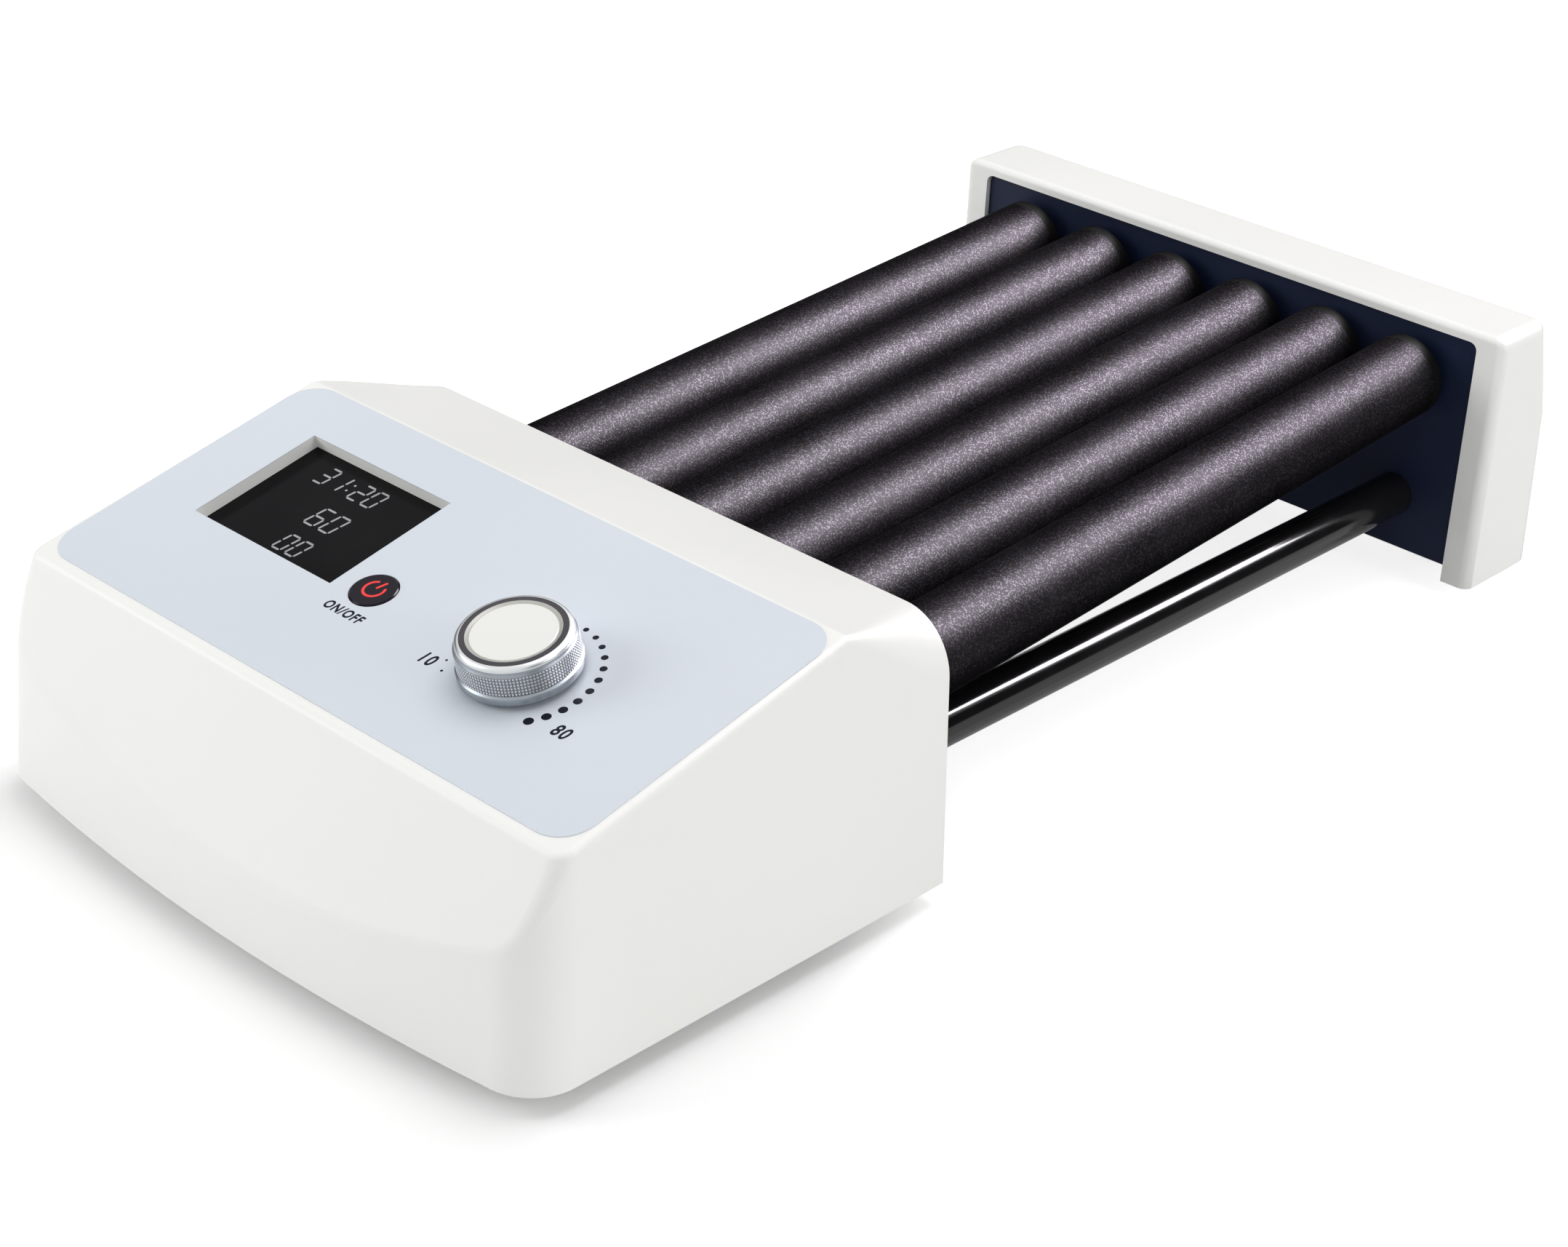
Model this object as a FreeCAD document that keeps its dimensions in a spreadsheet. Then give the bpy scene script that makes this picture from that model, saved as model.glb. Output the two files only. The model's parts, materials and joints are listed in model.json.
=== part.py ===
import FreeCAD, Part
import Sketcher
import math
import os
import re

# A bench roller mixer: six tubes turn on skewed axes, so that they roll and rock together.
# Frame: origin on the bench under the middle, +X to the user's right, +Y towards the end cap.

ROLLERS = 6
GEAR_TEETH = 16
PINION_TEETH = 12
MESH_STEPS = 6
PRESSURE_ANGLE = math.radians(20)
ADDENDUM = 0.9
DEDENDUM = 1.15
CLOSE = 0.1
X_AXIS = FreeCAD.Vector(1, 0, 0)
SIDES = (-1, 1)

doc = FreeCAD.newDocument("RollerMixer")
sheet = doc.addObject("Spreadsheet::Sheet", "Dims")

DIMENSIONS = (
    ("headWidth", 244, "control head and end cap, side to side at the foot"),
    ("headDepth", 173, "control head, front to back"),
    ("barrelGap", 284, "clear length between the head and the end cap"),
    ("capDepth", 43, "end cap, front to back"),
    ("footReach", 7, "mouldings' lower edge above the bench"),
    ("headHeight", 96, "ridge behind the control panel, and the end cap's top"),
    ("headBackHeight", 86, "head's top edge on the roller side"),
    ("peakInset", 43, "ridge, in front of the head's back face"),
    ("breakInset", 151, "panel's lower edge, in front of the back face"),
    ("breakHeight", 70.25, "panel's lower edge"),
    ("browHeight", 23.5, "where the apron meets the front wall, in the middle"),
    ("frontBow", 9.5, "front wall's bulge in plan"),
    ("headCorner", 17, "front corners in plan"),
    ("draftAngle", 3, "head moulding's draft"),
    ("fanRadius", 18, "head's top corners at the back face"),
    ("panelRadius", 2.5, "edges round the control panel"),
    ("browRadius", 12, "apron into the front wall"),
    ("apronRadius", 5, "apron into the front corners"),
    ("wall", 2.5, "moulded wall"),
    ("cutMargin", 1, "how far a cutting shape runs past what it cuts"),
    ("rimDepth", 6, "thick rim round an end plate"),
    ("sideRim", 11, "rim's width at the sides"),
    ("topRim", 4.3, "rim's width at the top"),
    ("headPlateCorner", 12, "head end plate's top corners"),
    ("capPlateCorner", 3, "cap end plate's top corners"),
    ("plateRecess", 2, "end plate, behind the rim's face"),
    ("plateThickness", 3, "end plates and gear plate"),
    ("fitGap", 0.3, "clearance round plates, covers and buttons"),
    ("coverInset", 3, "base covers, above the mouldings' lower edge"),
    ("coverThickness", 2.5, "base covers"),
    ("flangeLength", 15, "end plates' bent foot"),
    ("flangeSide", 20, "bent foot's ends, inside the plate's sides"),
    ("capStrip", 30, "end cap's flat top"),
    ("capShoulder", 40, "end cap's depth below its sloping back"),
    ("capShoulderHeight", 60, "foot of the sloping back"),
    ("capEdge", 3.5, "end cap's rounded edges"),
    ("rollerPitch", 34.4, "turning axes, side to side"),
    ("rollerDiameter", 30, "roller tubes"),
    ("tubeWall", 1.5, "roller tubes"),
    ("endGap", 2.5, "roller ends to the mouldings' faces"),
    ("axisHeight", 62.5, "turning axes above the mouldings' lower edge"),
    ("rockOffset", 10.5, "tube ends off the turning axis, one down and one up"),
    ("hubFlange", 4, "disc that closes a tube"),
    ("plugLength", 12, "hub's length inside its tube"),
    ("stubRadius", 3.5, "hub's stub shaft"),
    ("stubTail", 2, "stub shaft's end past its last bush"),
    ("runningGap", 0.05, "radial clearance of a turning fit"),
    ("bushWall", 1.45, "bearing bushes"),
    ("bushFlange", 1.5, "thickness of a bush's flange"),
    ("bushLip", 2, "width of a bush's flange"),
    ("gearInset", 9, "gears, behind the head's back face"),
    ("gearWidth", 8, "gears' face width"),
    ("gearHub", 2, "gear hub's wall round its shaft"),
    ("hubGap", 0.2, "gear hub to the bush or plate beside it"),
    ("backlash", 0.12, "play between meshed teeth"),
    ("gearPlateInset", 20, "gear plate, behind the head's back face"),
    ("gearPlateSide", 17, "gear plate's sides, inside the head's"),
    ("gearPlateFoot", 13, "gear plate's lower edge"),
    ("gearPlateTop", 79, "gear plate's upper edge"),
    ("pinRadius", 3, "idler pins"),
    ("spacerRadius", 4, "spacers between the end plate and the gear plate"),
    ("spacerSide", 23, "lower spacers, inside the head's sides"),
    ("upperSpacer", 73.5, "upper spacers, above the mouldings' lower edge"),
    ("lowerSpacer", 20, "lower spacers, above the mouldings' lower edge"),
    ("rodDiameter", 16, "tie rods"),
    ("rodSide", 36.5, "tie rods, inside the mouldings' sides"),
    ("rodHeight", 25, "tie rods above the mouldings' lower edge"),
    ("rodScrewRadius", 3, "tie rod screws"),
    ("rodScrewLength", 14, "tie rod screws, inside the rod"),
    ("rodScrewHead", 5, "tie rod screws' heads"),
    ("rodHeadHeight", 4, "tie rod screws' heads"),
    ("screwRadius", 1.5, "base and spacer screws"),
    ("screwHead", 3, "base and spacer screws' heads"),
    ("screwHeadHeight", 2, "base and spacer screws' heads"),
    ("screwLength", 9, "base screws, past the cover"),
    ("screwPlay", 1, "hole's depth past a screw's end"),
    ("postRadius", 4, "screw posts in the mouldings"),
    ("postInset", 14, "screw posts, from the sides"),
    ("frontPostInset", 138, "front posts and feet, in front of the head's back face"),
    ("backPostInset", 34, "back posts and feet, in front of the head's back face"),
    ("capPostInset", 22, "end cap's posts, behind its near face"),
    ("footRadius", 7, "rubber feet"),
    ("footTaper", 1, "how much wider a foot is at its cover than on the bench"),
    ("footSide", 32, "rubber feet, from the sides"),
    ("capFootInset", 30.5, "end cap's feet, behind its near face"),
    ("lcdSide", 63.8, "display's middle, from the head's left side"),
    ("lcdDrop", 44.6, "display opening, down the panel from the ridge"),
    ("lcdWidth", 64.2, "display opening"),
    ("lcdHeight", 47.6, "display opening, along the slope"),
    ("lcdDepth", 4, "display glass below the panel"),
    ("collarWall", 1.6, "moulded collar round the display, and the glass's margin"),
    ("glassThickness", 1, "display glass"),
    ("knobSide", 70.6, "knob, from the head's right side"),
    ("knobDrop", 63.2, "knob, down the panel from the ridge"),
    ("knobRadius", 19, "knob's skirt"),
    ("knobHeight", 14, "knob's face above the panel"),
    ("knobLift", 0.9, "knob's skirt above the panel"),
    ("knobSkirt", 2.2, "height of the plain band"),
    ("knobGrip", 18.3, "radius of the knurled band"),
    ("knobBevel", 2.6, "height of the polished bevel"),
    ("knobCrown", 15.8, "radius inside the bevel"),
    ("knobRing", 14.4, "dark ring in the knob's face"),
    ("knobDisc", 13.2, "pale disc in the knob's face"),
    ("discDepth", 1.2, "thickness of the ring and the disc"),
    ("knobShell", 2.8, "knob's own wall"),
    ("shaftRadius", 3, "control shaft and motor shaft"),
    ("shaftDepth", 8.5, "control shaft's end below the panel"),
    ("pressDepth", 0.8, "plunger under the control shaft"),
    ("pressTravel", 0.5, "knob's travel when it is pressed"),
    ("buttonOffset", 46, "power button, to the right of the display's middle"),
    ("buttonDrop", 63.2, "power button, down the panel from the ridge"),
    ("buttonRadius", 7.4, "power button"),
    ("buttonLift", 0.7, "power button's face above the panel"),
    ("buttonLip", 1.4, "button's retaining lip"),
    ("buttonStem", 7.5, "button's stem, below the panel"),
    ("buttonTravel", 0.8, "power button's travel"),
    ("overlaySide", 6.7, "panel label's sides, inside the head's width at the foot"),
    ("overlayRear", 0.8, "panel label, below the ridge"),
    ("overlayFront", 3.7, "panel label, above the panel's lower edge"),
    ("overlayCorner", 11, "panel label's corners"),
    ("overlayThickness", 0.3, "panel label"),
    ("boardDepth", 11, "display board's face below the panel"),
    ("boardSide", 20, "display board, inside the head's sides"),
    ("boardRear", 14, "display board, below the ridge"),
    ("boardFront", 96, "display board, below the ridge"),
    ("boardThickness", 1.6, "circuit boards"),
    ("boardPostInset", 5, "board's posts, from its edges"),
    ("encoderSize", 12, "control encoder's case"),
    ("switchSize", 8, "power switch's case"),
    ("motorRadius", 17, "gear motor's can"),
    ("motorLength", 38, "gear motor's can"),
    ("gearboxRadius", 18.5, "gear motor's gearbox"),
    ("gearboxLength", 22, "gear motor's gearbox"),
    ("motorBore", 8, "depth of the gearbox's bearing"),
    ("mainBoardSide", 62, "motor board's middle, to the left"),
    ("mainBoardInset", 106, "motor board's middle, in front of the back face"),
    ("mainBoardWidth", 64, "motor board"),
    ("mainBoardDepth", 46, "motor board"),
    ("standoff", 6, "motor board above the base cover"),
    ("inletInset", 46, "power inlet, in front of the head's back face"),
    ("inletHeight", 22, "power inlet above the moulding's lower edge"),
    ("inletRadius", 5.5, "power inlet's barrel"),
    ("inletBore", 2.8, "power inlet's socket"),
    ("inletLength", 13, "power inlet's barrel"),
    ("inletFace", 1.6, "power inlet's face, inside the head's width"),
)

for row, (alias, number, meaning) in enumerate(DIMENSIONS, start=1):
    sheet.set(f"A{row}", meaning)
    sheet.set(f"B{row}", str(number))
    sheet.setAlias(f"B{row}", alias)
doc.recompute()

ALIASES = re.compile(r"\b(" + "|".join(alias for alias, number, meaning in DIMENSIONS) + r")\b")

HEAD_FACE = "((headDepth - barrelGap - capDepth) / 2)"
CAP_FACE = "((headDepth + barrelGap - capDepth) / 2)"
MID_GAP = "((headDepth - capDepth) / 2)"
AXIS_Z = "(footReach + axisHeight)"
SLOPE = "atan((headHeight - breakHeight) / (breakInset - peakInset))"
SLOPE_LENGTH = "sqrt((headHeight - breakHeight)^2 + (breakInset - peakInset)^2)"
PANEL_THICKNESS = f"(wall * (sin({SLOPE}) + cos({SLOPE})))"
SKEW = "atan(2 * rockOffset / (barrelGap - 2 * endGap))"
STEEPNESS = "atan((barrelGap - 2 * endGap) / (2 * rockOffset))"
ROLLER_LENGTH = "sqrt((barrelGap - 2 * endGap)^2 + (2 * rockOffset)^2)"
LCD_X = "(lcdSide - headWidth / 2)"
BUTTON_X = f"({LCD_X} + buttonOffset)"
KNOB_X = "(headWidth / 2 - knobSide)"
BOARD_WIDTH = "(headWidth - 2 * boardSide)"
COVER_FOOT = "(footReach + coverInset)"
COVER_TOP = "(footReach + coverInset + coverThickness)"
PLATE_BACK = "(plateRecess + plateThickness)"
BUSH_RADIUS = "(stubRadius + runningGap + bushWall)"

nodes = []


# Document helpers

def size(alias):
    return float(sheet.get(alias))


def bind(item, prop, formula):
    item.setExpression(prop, ALIASES.sub(r"Dims.\1", str(formula)))


def put(item, x, y, z):
    bind(item, "Placement.Base.x", x)
    bind(item, "Placement.Base.y", y)
    bind(item, "Placement.Base.z", z)
    return item


def turn(item, axis, angle):
    item.Placement = FreeCAD.Placement(FreeCAD.Vector(), FreeCAD.Rotation(axis, 45))
    bind(item, "Placement.Rotation.Angle", angle)
    return item


def cylinder(name, radius, length, x, y, z):
    item = doc.addObject("Part::Cylinder", name)
    bind(item, "Radius", radius)
    bind(item, "Height", length)
    return put(item, x, y, z)


def cylinder_along_y(name, radius, length, x, y, z):
    return put(turn(cylinder(name, radius, length, "0", "0", "0"), -X_AXIS, "90"), x, y, z)


def box(name, width, depth, height, x, y, z):
    item = doc.addObject("Part::Box", name)
    bind(item, "Length", width)
    bind(item, "Width", depth)
    bind(item, "Height", height)
    return put(item, x, y, z)


def centred_box(name, width, depth, height, x, y, z):
    return box(name, width, depth, height, f"{x} - ({width}) / 2", f"{y} - ({depth}) / 2", z)


def fuse(name, items):
    item = doc.addObject("Part::MultiFuse", name)
    item.Shapes = items
    return item


def common(name, items):
    item = doc.addObject("Part::MultiCommon", name)
    item.Shapes = items
    return item


def cut(name, base, tools):
    item = doc.addObject("Part::Cut", name)
    item.Base = base
    item.Tool = tools[0] if len(tools) == 1 else fuse(name + "Tools", tools)
    return item


def group(name, items):
    item = doc.addObject("Part::Compound", name)
    item.Links = items
    return item


def node(item, label):
    item.Label = label
    nodes.append(item)
    return item


# Sketched bodies

def new_body(name):
    return doc.addObject("PartDesign::Body", name)


def new_sketch(body, role, offset="0"):
    plane = next(item for item in body.Origin.OriginFeatures if item.Role == role)
    sketch = body.newObject("Sketcher::SketchObject", f"{body.Name}Sketch{len(body.Group)}")
    sketch.AttachmentSupport = [(plane, "")]
    sketch.MapMode = "FlatFace"
    bind(sketch, "AttachmentOffset.Base.z", offset)
    return sketch


def constrain(sketch, constraint, formula):
    index = sketch.addConstraint(constraint)
    bind(sketch, f"Constraints[{index}]", formula)


def fix_point(sketch, geometry, end, spot, across, up):
    constrain(sketch, Sketcher.Constraint("DistanceX", -1, 1, geometry, end, spot.x), across)
    constrain(sketch, Sketcher.Constraint("DistanceY", -1, 1, geometry, end, spot.y), up)


def add_outline(sketch, corners):
    # The corners start on a circle, and their constraints then bring them home.
    start = sketch.GeometryCount
    count = len(corners)
    turns = [2 * math.pi * place / count for place in range(count)]
    spots = [FreeCAD.Vector(100 * math.cos(angle), 100 * math.sin(angle), 0) for angle in turns]
    for place in range(count):
        sketch.addGeometry(Part.LineSegment(spots[place], spots[(place + 1) % count]))
    for place in range(count):
        following = start + (place + 1) % count
        sketch.addConstraint(Sketcher.Constraint("Coincident", start + place, 2, following, 1))
    for place, (across, up) in enumerate(corners):
        fix_point(sketch, start + place, 1, spots[place], across, up)


def add_circle(sketch, across, up, radius):
    index = sketch.addGeometry(Part.Circle(FreeCAD.Vector(), FreeCAD.Vector(0, 0, 1), 1))
    fix_point(sketch, index, 3, FreeCAD.Vector(), across, up)
    constrain(sketch, Sketcher.Constraint("Radius", index, 1), radius)


def rectangle(left, right, low, high):
    return [(left, low), (right, low), (right, high), (left, high)]


def pad(body, sketch, length, midplane=False, taper=None):
    feature = body.newObject("PartDesign::Pad", body.Name + "Pad")
    feature.Profile = sketch
    feature.Midplane = midplane
    bind(feature, "Length", length)
    if taper is not None:
        bind(feature, "TaperAngle", taper)
    return feature


def edge_ends(edge):
    return [vertex.Point for vertex in edge.Vertexes]


def round_edges(body, feature, radius, chosen):
    doc.recompute()
    names = [f"Edge{place}" for place, edge in enumerate(feature.Shape.Edges, start=1) if chosen(edge)]
    rounding = body.newObject("PartDesign::Fillet", body.Name + "Rounding")
    rounding.Base = (feature, names)
    bind(rounding, "Radius", radius)
    return rounding


def turned(name, profile):
    # A solid of revolution about local Z from (radius, height) corners.
    body = new_body(name)
    sketch = new_sketch(body, "XZ_Plane")
    add_outline(sketch, profile)
    revolution = body.newObject("PartDesign::Revolution", name + "Turning")
    revolution.Profile = sketch
    revolution.ReferenceAxis = (sketch, ["V_Axis"])
    revolution.Angle = 360
    return body


def turned_along_y(name, profile, x, y, z):
    return put(turn(turned(name, profile), -X_AXIS, "90"), x, y, z)


# Places

def roller_x(place):
    return f"({place - (ROLLERS - 1) / 2} * rollerPitch)"


def idler_x(place):
    return f"({place - (ROLLERS - 2) / 2} * rollerPitch)"


def rod_x(side):
    return f"({side} * (headWidth / 2 - rodSide))"


def on_roller(distance):
    # A point on a tube's own axis, measured from the middle of the tube.
    return f"{MID_GAP} + ({distance}) * cos({SKEW})", f"{AXIS_Z} + ({distance}) * sin({SKEW})"


def panel_point(across, down, above):
    y = f"{HEAD_FACE} - peakInset - ({down}) * cos({SLOPE}) - ({above}) * sin({SLOPE})"
    z = f"footReach + headHeight - ({down}) * sin({SLOPE}) + ({above}) * cos({SLOPE})"
    return across, y, z


def on_panel(item, across="0", down="0", above="0"):
    return put(turn(item, X_AXIS, SLOPE), *panel_point(across, down, above))


def panel_block(name, across, down, width, height, low, high, holes=()):
    body = new_body(name)
    sketch = new_sketch(body, "XY_Plane", low)
    left, right = f"{across} - ({width}) / 2", f"{across} + ({width}) / 2"
    near, far = f"-({down}) - ({height}) / 2", f"-({down}) + ({height}) / 2"
    add_outline(sketch, rectangle(left, right, near, far))
    for hole_across, hole_down, radius in holes:
        add_circle(sketch, hole_across, f"-({hole_down})", radius)
    pad(body, sketch, f"({high}) - ({low})")
    return on_panel(body)


def panel_pin(name, across, down, radius, low, high):
    item = cylinder(name, radius, f"({high}) - ({low})", "0", "0", "0")
    return on_panel(item, across, down, low)


# Control head moulding

def head_plan(name, inset, foot, length, taper):
    # The head seen from above: straight sides, a bowed front and rounded front corners.
    body = new_body(name)
    sketch = new_sketch(body, "XY_Plane")
    half = f"(headWidth / 2 - ({inset}))"
    shoulder = f"(headDepth - frontBow - ({inset}))"
    right, front, back = size("headWidth") / 2, -size("headDepth"), size("wall")
    bow = front + size("frontBow")
    corners = [FreeCAD.Vector(right, back, 0), FreeCAD.Vector(right, bow, 0)]
    corners += [FreeCAD.Vector(-right, bow, 0), FreeCAD.Vector(-right, back, 0)]
    sketch.addGeometry(Part.LineSegment(corners[0], corners[1]))
    sketch.addGeometry(Part.LineSegment(corners[2], corners[3]))
    sketch.addGeometry(Part.LineSegment(corners[3], corners[0]))
    arc = sketch.addGeometry(Part.Arc(corners[2], FreeCAD.Vector(0, front, 0), corners[1]))
    sketch.addConstraint(Sketcher.Constraint("Coincident", 1, 2, 2, 1))
    sketch.addConstraint(Sketcher.Constraint("Coincident", 2, 2, 0, 1))
    sketch.addConstraint(Sketcher.Constraint("Coincident", arc, 1, 1, 1))
    sketch.addConstraint(Sketcher.Constraint("Coincident", arc, 2, 0, 2))
    fix_point(sketch, 0, 1, corners[0], half, foot)
    fix_point(sketch, 0, 2, corners[1], half, f"-{shoulder}")
    fix_point(sketch, 1, 1, corners[2], f"-{half}", f"-{shoulder}")
    fix_point(sketch, 1, 2, corners[3], f"-{half}", foot)
    bow_radius = f"({half}^2 + frontBow^2) / (2 * frontBow)"
    constrain(sketch, Sketcher.Constraint("Radius", arc, right * right / size("frontBow") / 2), bow_radius)
    plan = pad(body, sketch, length, taper=taper)

    def front_corner(edge):
        ends = edge_ends(edge)
        upright = abs(ends[0].z - ends[-1].z) > size("wall") / 2
        return upright and max(point.y for point in ends) < -size("headDepth") / 2

    round_edges(body, plan, f"headCorner - ({inset})", front_corner)
    return body


def head_side(name, back, inset, foot):
    # The head seen from the side: top strip, panel, apron and front.
    body = new_body(name)
    sketch = new_sketch(body, "YZ_Plane")
    front = f"-(headDepth + cutMargin - ({inset}))"
    lean = "browHeight * tan(draftAngle)"
    fall = f"(cutMargin + {lean}) * (breakHeight - browHeight) / (headDepth - {lean} - breakInset)"
    corners = [
        (back, foot),
        (back, f"headBackHeight - ({inset})"),
        ("-peakInset", f"headHeight - ({inset})"),
        (f"-(breakInset - ({inset}))", f"breakHeight - ({inset})"),
        (front, f"browHeight - {fall} - ({inset})"),
        (front, foot),
    ]
    add_outline(sketch, corners)
    pad(body, sketch, "headWidth + 2 * cutMargin", midplane=True)
    return put(body, "0", HEAD_FACE, "footReach")


def head_roundings(form, hollow):
    # Radii for the edges of the head's form, each edge found by where it runs.
    lower = size("footReach")
    inset = size("wall") if hollow else 0
    ridge, bend = lower + size("headHeight") - inset, lower + size("breakHeight") - inset
    across, along = size("headWidth") / 2, size("peakInset") / 2
    wide, narrow = size("fanRadius") - inset, size("panelRadius")
    chosen = []
    for place, edge in enumerate(form.Shape.Edges, start=1):
        first, last = edge_ends(edge)[0], edge_ends(edge)[-1]
        low, high = min(first.z, last.z), max(first.z, last.z)
        reach = abs(first.y - last.y)
        if abs(high - ridge) < CLOSE and along < reach < size("breakInset") / 2:
            radii = (wide, narrow) if first.y > last.y else (narrow, wide)
            chosen.append((place, *radii))
        elif hollow or low < lower + size("browHeight"):
            continue
        elif abs(high - ridge) < CLOSE and low > bend - narrow:
            chosen.append((place, narrow, narrow))
        elif high < bend + narrow and low > bend - narrow:
            chosen.append((place, narrow, narrow))
        elif high < bend and abs(first.x - last.x) > across:
            chosen.append((place, size("browRadius"), size("browRadius")))
        elif high < bend + CLOSE:
            chosen.append((place, size("apronRadius"), size("apronRadius")))
    return chosen


def head_form(name, back, inset, foot):
    # Plan and side outlines meet, and the top corners open like a fan towards the back.
    behind = "headHeight * tan(draftAngle) + cutMargin"
    plan = head_plan(name + "Plan", inset, behind, f"headHeight - ({foot})", "-draftAngle")
    put(plan, "0", HEAD_FACE, f"footReach + ({foot})")
    form = common(name + "Block", [plan, head_side(name + "Side", back, inset, foot)])
    doc.recompute()
    rounded = doc.addObject("Part::Fillet", name)
    rounded.Base = form
    rounded.Edges = head_roundings(form, inset == "wall")
    return rounded


def plate_blank(name, half, foot, top, thickness, corner, holes=()):
    # An upright plate with rounded top corners; its thickness runs towards -Y.
    body = new_body(name)
    sketch = new_sketch(body, "XZ_Plane")
    add_outline(sketch, rectangle(f"-({half})", half, foot, top))
    for across, up, radius in holes:
        add_circle(sketch, across, up, radius)
    blank = pad(body, sketch, thickness)

    def top_corner(edge):
        ends = edge_ends(edge)
        across_plate = len(ends) == 2 and abs(ends[0].y - ends[1].y) > size("cutMargin")
        widest = max(vertex.X for vertex in blank.Shape.Vertexes)
        highest = max(vertex.Z for vertex in blank.Shape.Vertexes)
        at_corner = abs(abs(ends[0].x) - widest) < CLOSE and abs(ends[0].z - highest) < CLOSE
        return across_plate and at_corner

    round_edges(body, blank, corner, top_corner)
    return body


def post_places():
    inset = "(headWidth / 2 - postInset)"
    return [(f"{side} * {inset}", f"{HEAD_FACE} - {depth}")
            for side in SIDES for depth in ("backPostInset", "frontPostInset")]


def board_post_places():
    half = f"({BOARD_WIDTH} / 2 - boardPostInset)"
    return [(f"{side} * {half}", down)
            for side in SIDES for down in ("boardRear + boardPostInset", "boardFront - boardPostInset")]


def make_head_shell():
    outer = head_form("HeadOuter", "0", "0", "0")
    hollow = head_form("HeadHollow", "-rimDepth", "wall", "-cutMargin")
    rim = plate_blank("HeadRim", "headWidth / 2 - sideRim", "-cutMargin", "headBackHeight - topRim",
                      "rimDepth + 2 * cutMargin", "headPlateCorner")
    put(rim, "0", f"{HEAD_FACE} + cutMargin", "footReach")
    shell = cut("HeadSkin", outer, [hollow, rim])

    posts = [cylinder(f"HeadPost{place}", "postRadius", "headHeight", x, y, COVER_TOP)
             for place, (x, y) in enumerate(post_places())]
    collar = panel_block("LcdCollar", LCD_X, "lcdDrop", "lcdWidth + 2 * collarWall",
                         "lcdHeight + 2 * collarWall", "-lcdDepth", "-cutMargin")
    board_posts = [panel_pin(f"BoardPost{place}", x, down, "postRadius", "-boardDepth", "-cutMargin")
                   for place, (x, down) in enumerate(board_post_places())]
    trimmed = common("HeadPosts", [outer, fuse("HeadPostBlanks", posts)])
    solid = fuse("HeadSolid", [shell, trimmed, collar] + board_posts)

    cuts = [
        panel_block("LcdOpening", LCD_X, "lcdDrop", "lcdWidth", "lcdHeight",
                    "-(lcdDepth + cutMargin)", "cutMargin"),
        panel_pin("KnobHole", KNOB_X, "knobDrop", "shaftRadius + 2 * fitGap + cutMargin",
                  "-boardDepth / 2", "cutMargin"),
        panel_pin("ButtonHole", BUTTON_X, "buttonDrop", "buttonRadius + fitGap",
                  "-boardDepth / 2", "cutMargin"),
        inlet_cylinder("InletHole", "inletRadius", "-2 * cutMargin", "inletLength"),
    ]
    cuts += [cylinder(f"HeadPostHole{place}", "screwRadius", "screwLength + screwPlay + cutMargin", x, y,
                      f"{COVER_TOP} - cutMargin")
             for place, (x, y) in enumerate(post_places())]
    node(cut("HeadShell", solid, cuts), "head_shell")


# Base covers, feet and their screws

def cover_screw(name, x, y):
    # Pan head under the cover, shank up into the moulding's post.
    profile = [("0", "-screwHeadHeight"), ("screwHead", "-screwHeadHeight"), ("screwHead", "0"),
               ("screwRadius", "0"), ("screwRadius", "coverThickness + screwLength"),
               ("0", "coverThickness + screwLength")]
    return put(turned(name, profile), x, y, COVER_FOOT)


def rubber_foot(name, x, y):
    # Wider where it meets the cover than on the bench.
    profile = [("0", "0"), ("footRadius - footTaper", "0"), ("footRadius", COVER_FOOT), ("0", COVER_FOOT)]
    return put(turned(name, profile), x, y, "0")


def make_head_base():
    plan = head_plan("HeadCover", "wall + 2 * fitGap", "-(rimDepth + fitGap)", "coverThickness", None)
    put(plan, "0", HEAD_FACE, COVER_FOOT)
    board_x, board_y = "-mainBoardSide", f"{HEAD_FACE} - mainBoardInset"
    half_x, half_y = "(mainBoardWidth / 2 - boardPostInset)", "(mainBoardDepth / 2 - boardPostInset)"
    standoffs = [cylinder(f"Standoff{side}{end}", "screwHead", "standoff + coverThickness",
                          f"{board_x} + {side} * {half_x}", f"{board_y} + {end} * {half_y}", COVER_FOOT)
                 for side in SIDES for end in SIDES]
    holes = [cylinder(f"HeadCoverHole{place}", "screwRadius", "coverThickness + 2 * cutMargin", x, y,
                      f"{COVER_FOOT} - cutMargin")
             for place, (x, y) in enumerate(post_places())]
    node(cut("HeadBase", fuse("HeadBaseBlank", [plan] + standoffs), holes), "head_base")
    screws = [cover_screw(f"HeadScrew{place}", x, y) for place, (x, y) in enumerate(post_places())]
    node(group("HeadScrews", screws), "head_base_screws")
    spots = [(f"{side} * (headWidth / 2 - footSide)", f"{HEAD_FACE} - {depth}")
             for side in SIDES for depth in ("backPostInset", "frontPostInset")]
    feet = [rubber_foot(f"HeadFoot{place}", x, y) for place, (x, y) in enumerate(spots)]
    node(group("HeadFeet", feet), "head_feet")
    node(centred_box("MainBoard", "mainBoardWidth", "mainBoardDepth", "boardThickness",
                     board_x, board_y, f"{COVER_TOP} + standoff"), "motor_board")


# Power inlet in the left wall

def inlet_cylinder(name, radius, start, length):
    item = cylinder(name, radius, length, "0", "0", "0")
    turn(item, FreeCAD.Vector(0, 1, 0), "90")
    x = f"inletFace - headWidth / 2 + ({start})"
    return put(item, x, f"{HEAD_FACE} - inletInset", "footReach + inletHeight")


def make_inlet():
    barrel = inlet_cylinder("InletBarrel", "inletRadius", "0", "inletLength")
    socket = inlet_cylinder("InletSocket", "inletBore", "-cutMargin", "inletLength - 2 * cutMargin")
    node(cut("PowerInlet", barrel, [socket]), "power_inlet")


# Control panel

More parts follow.
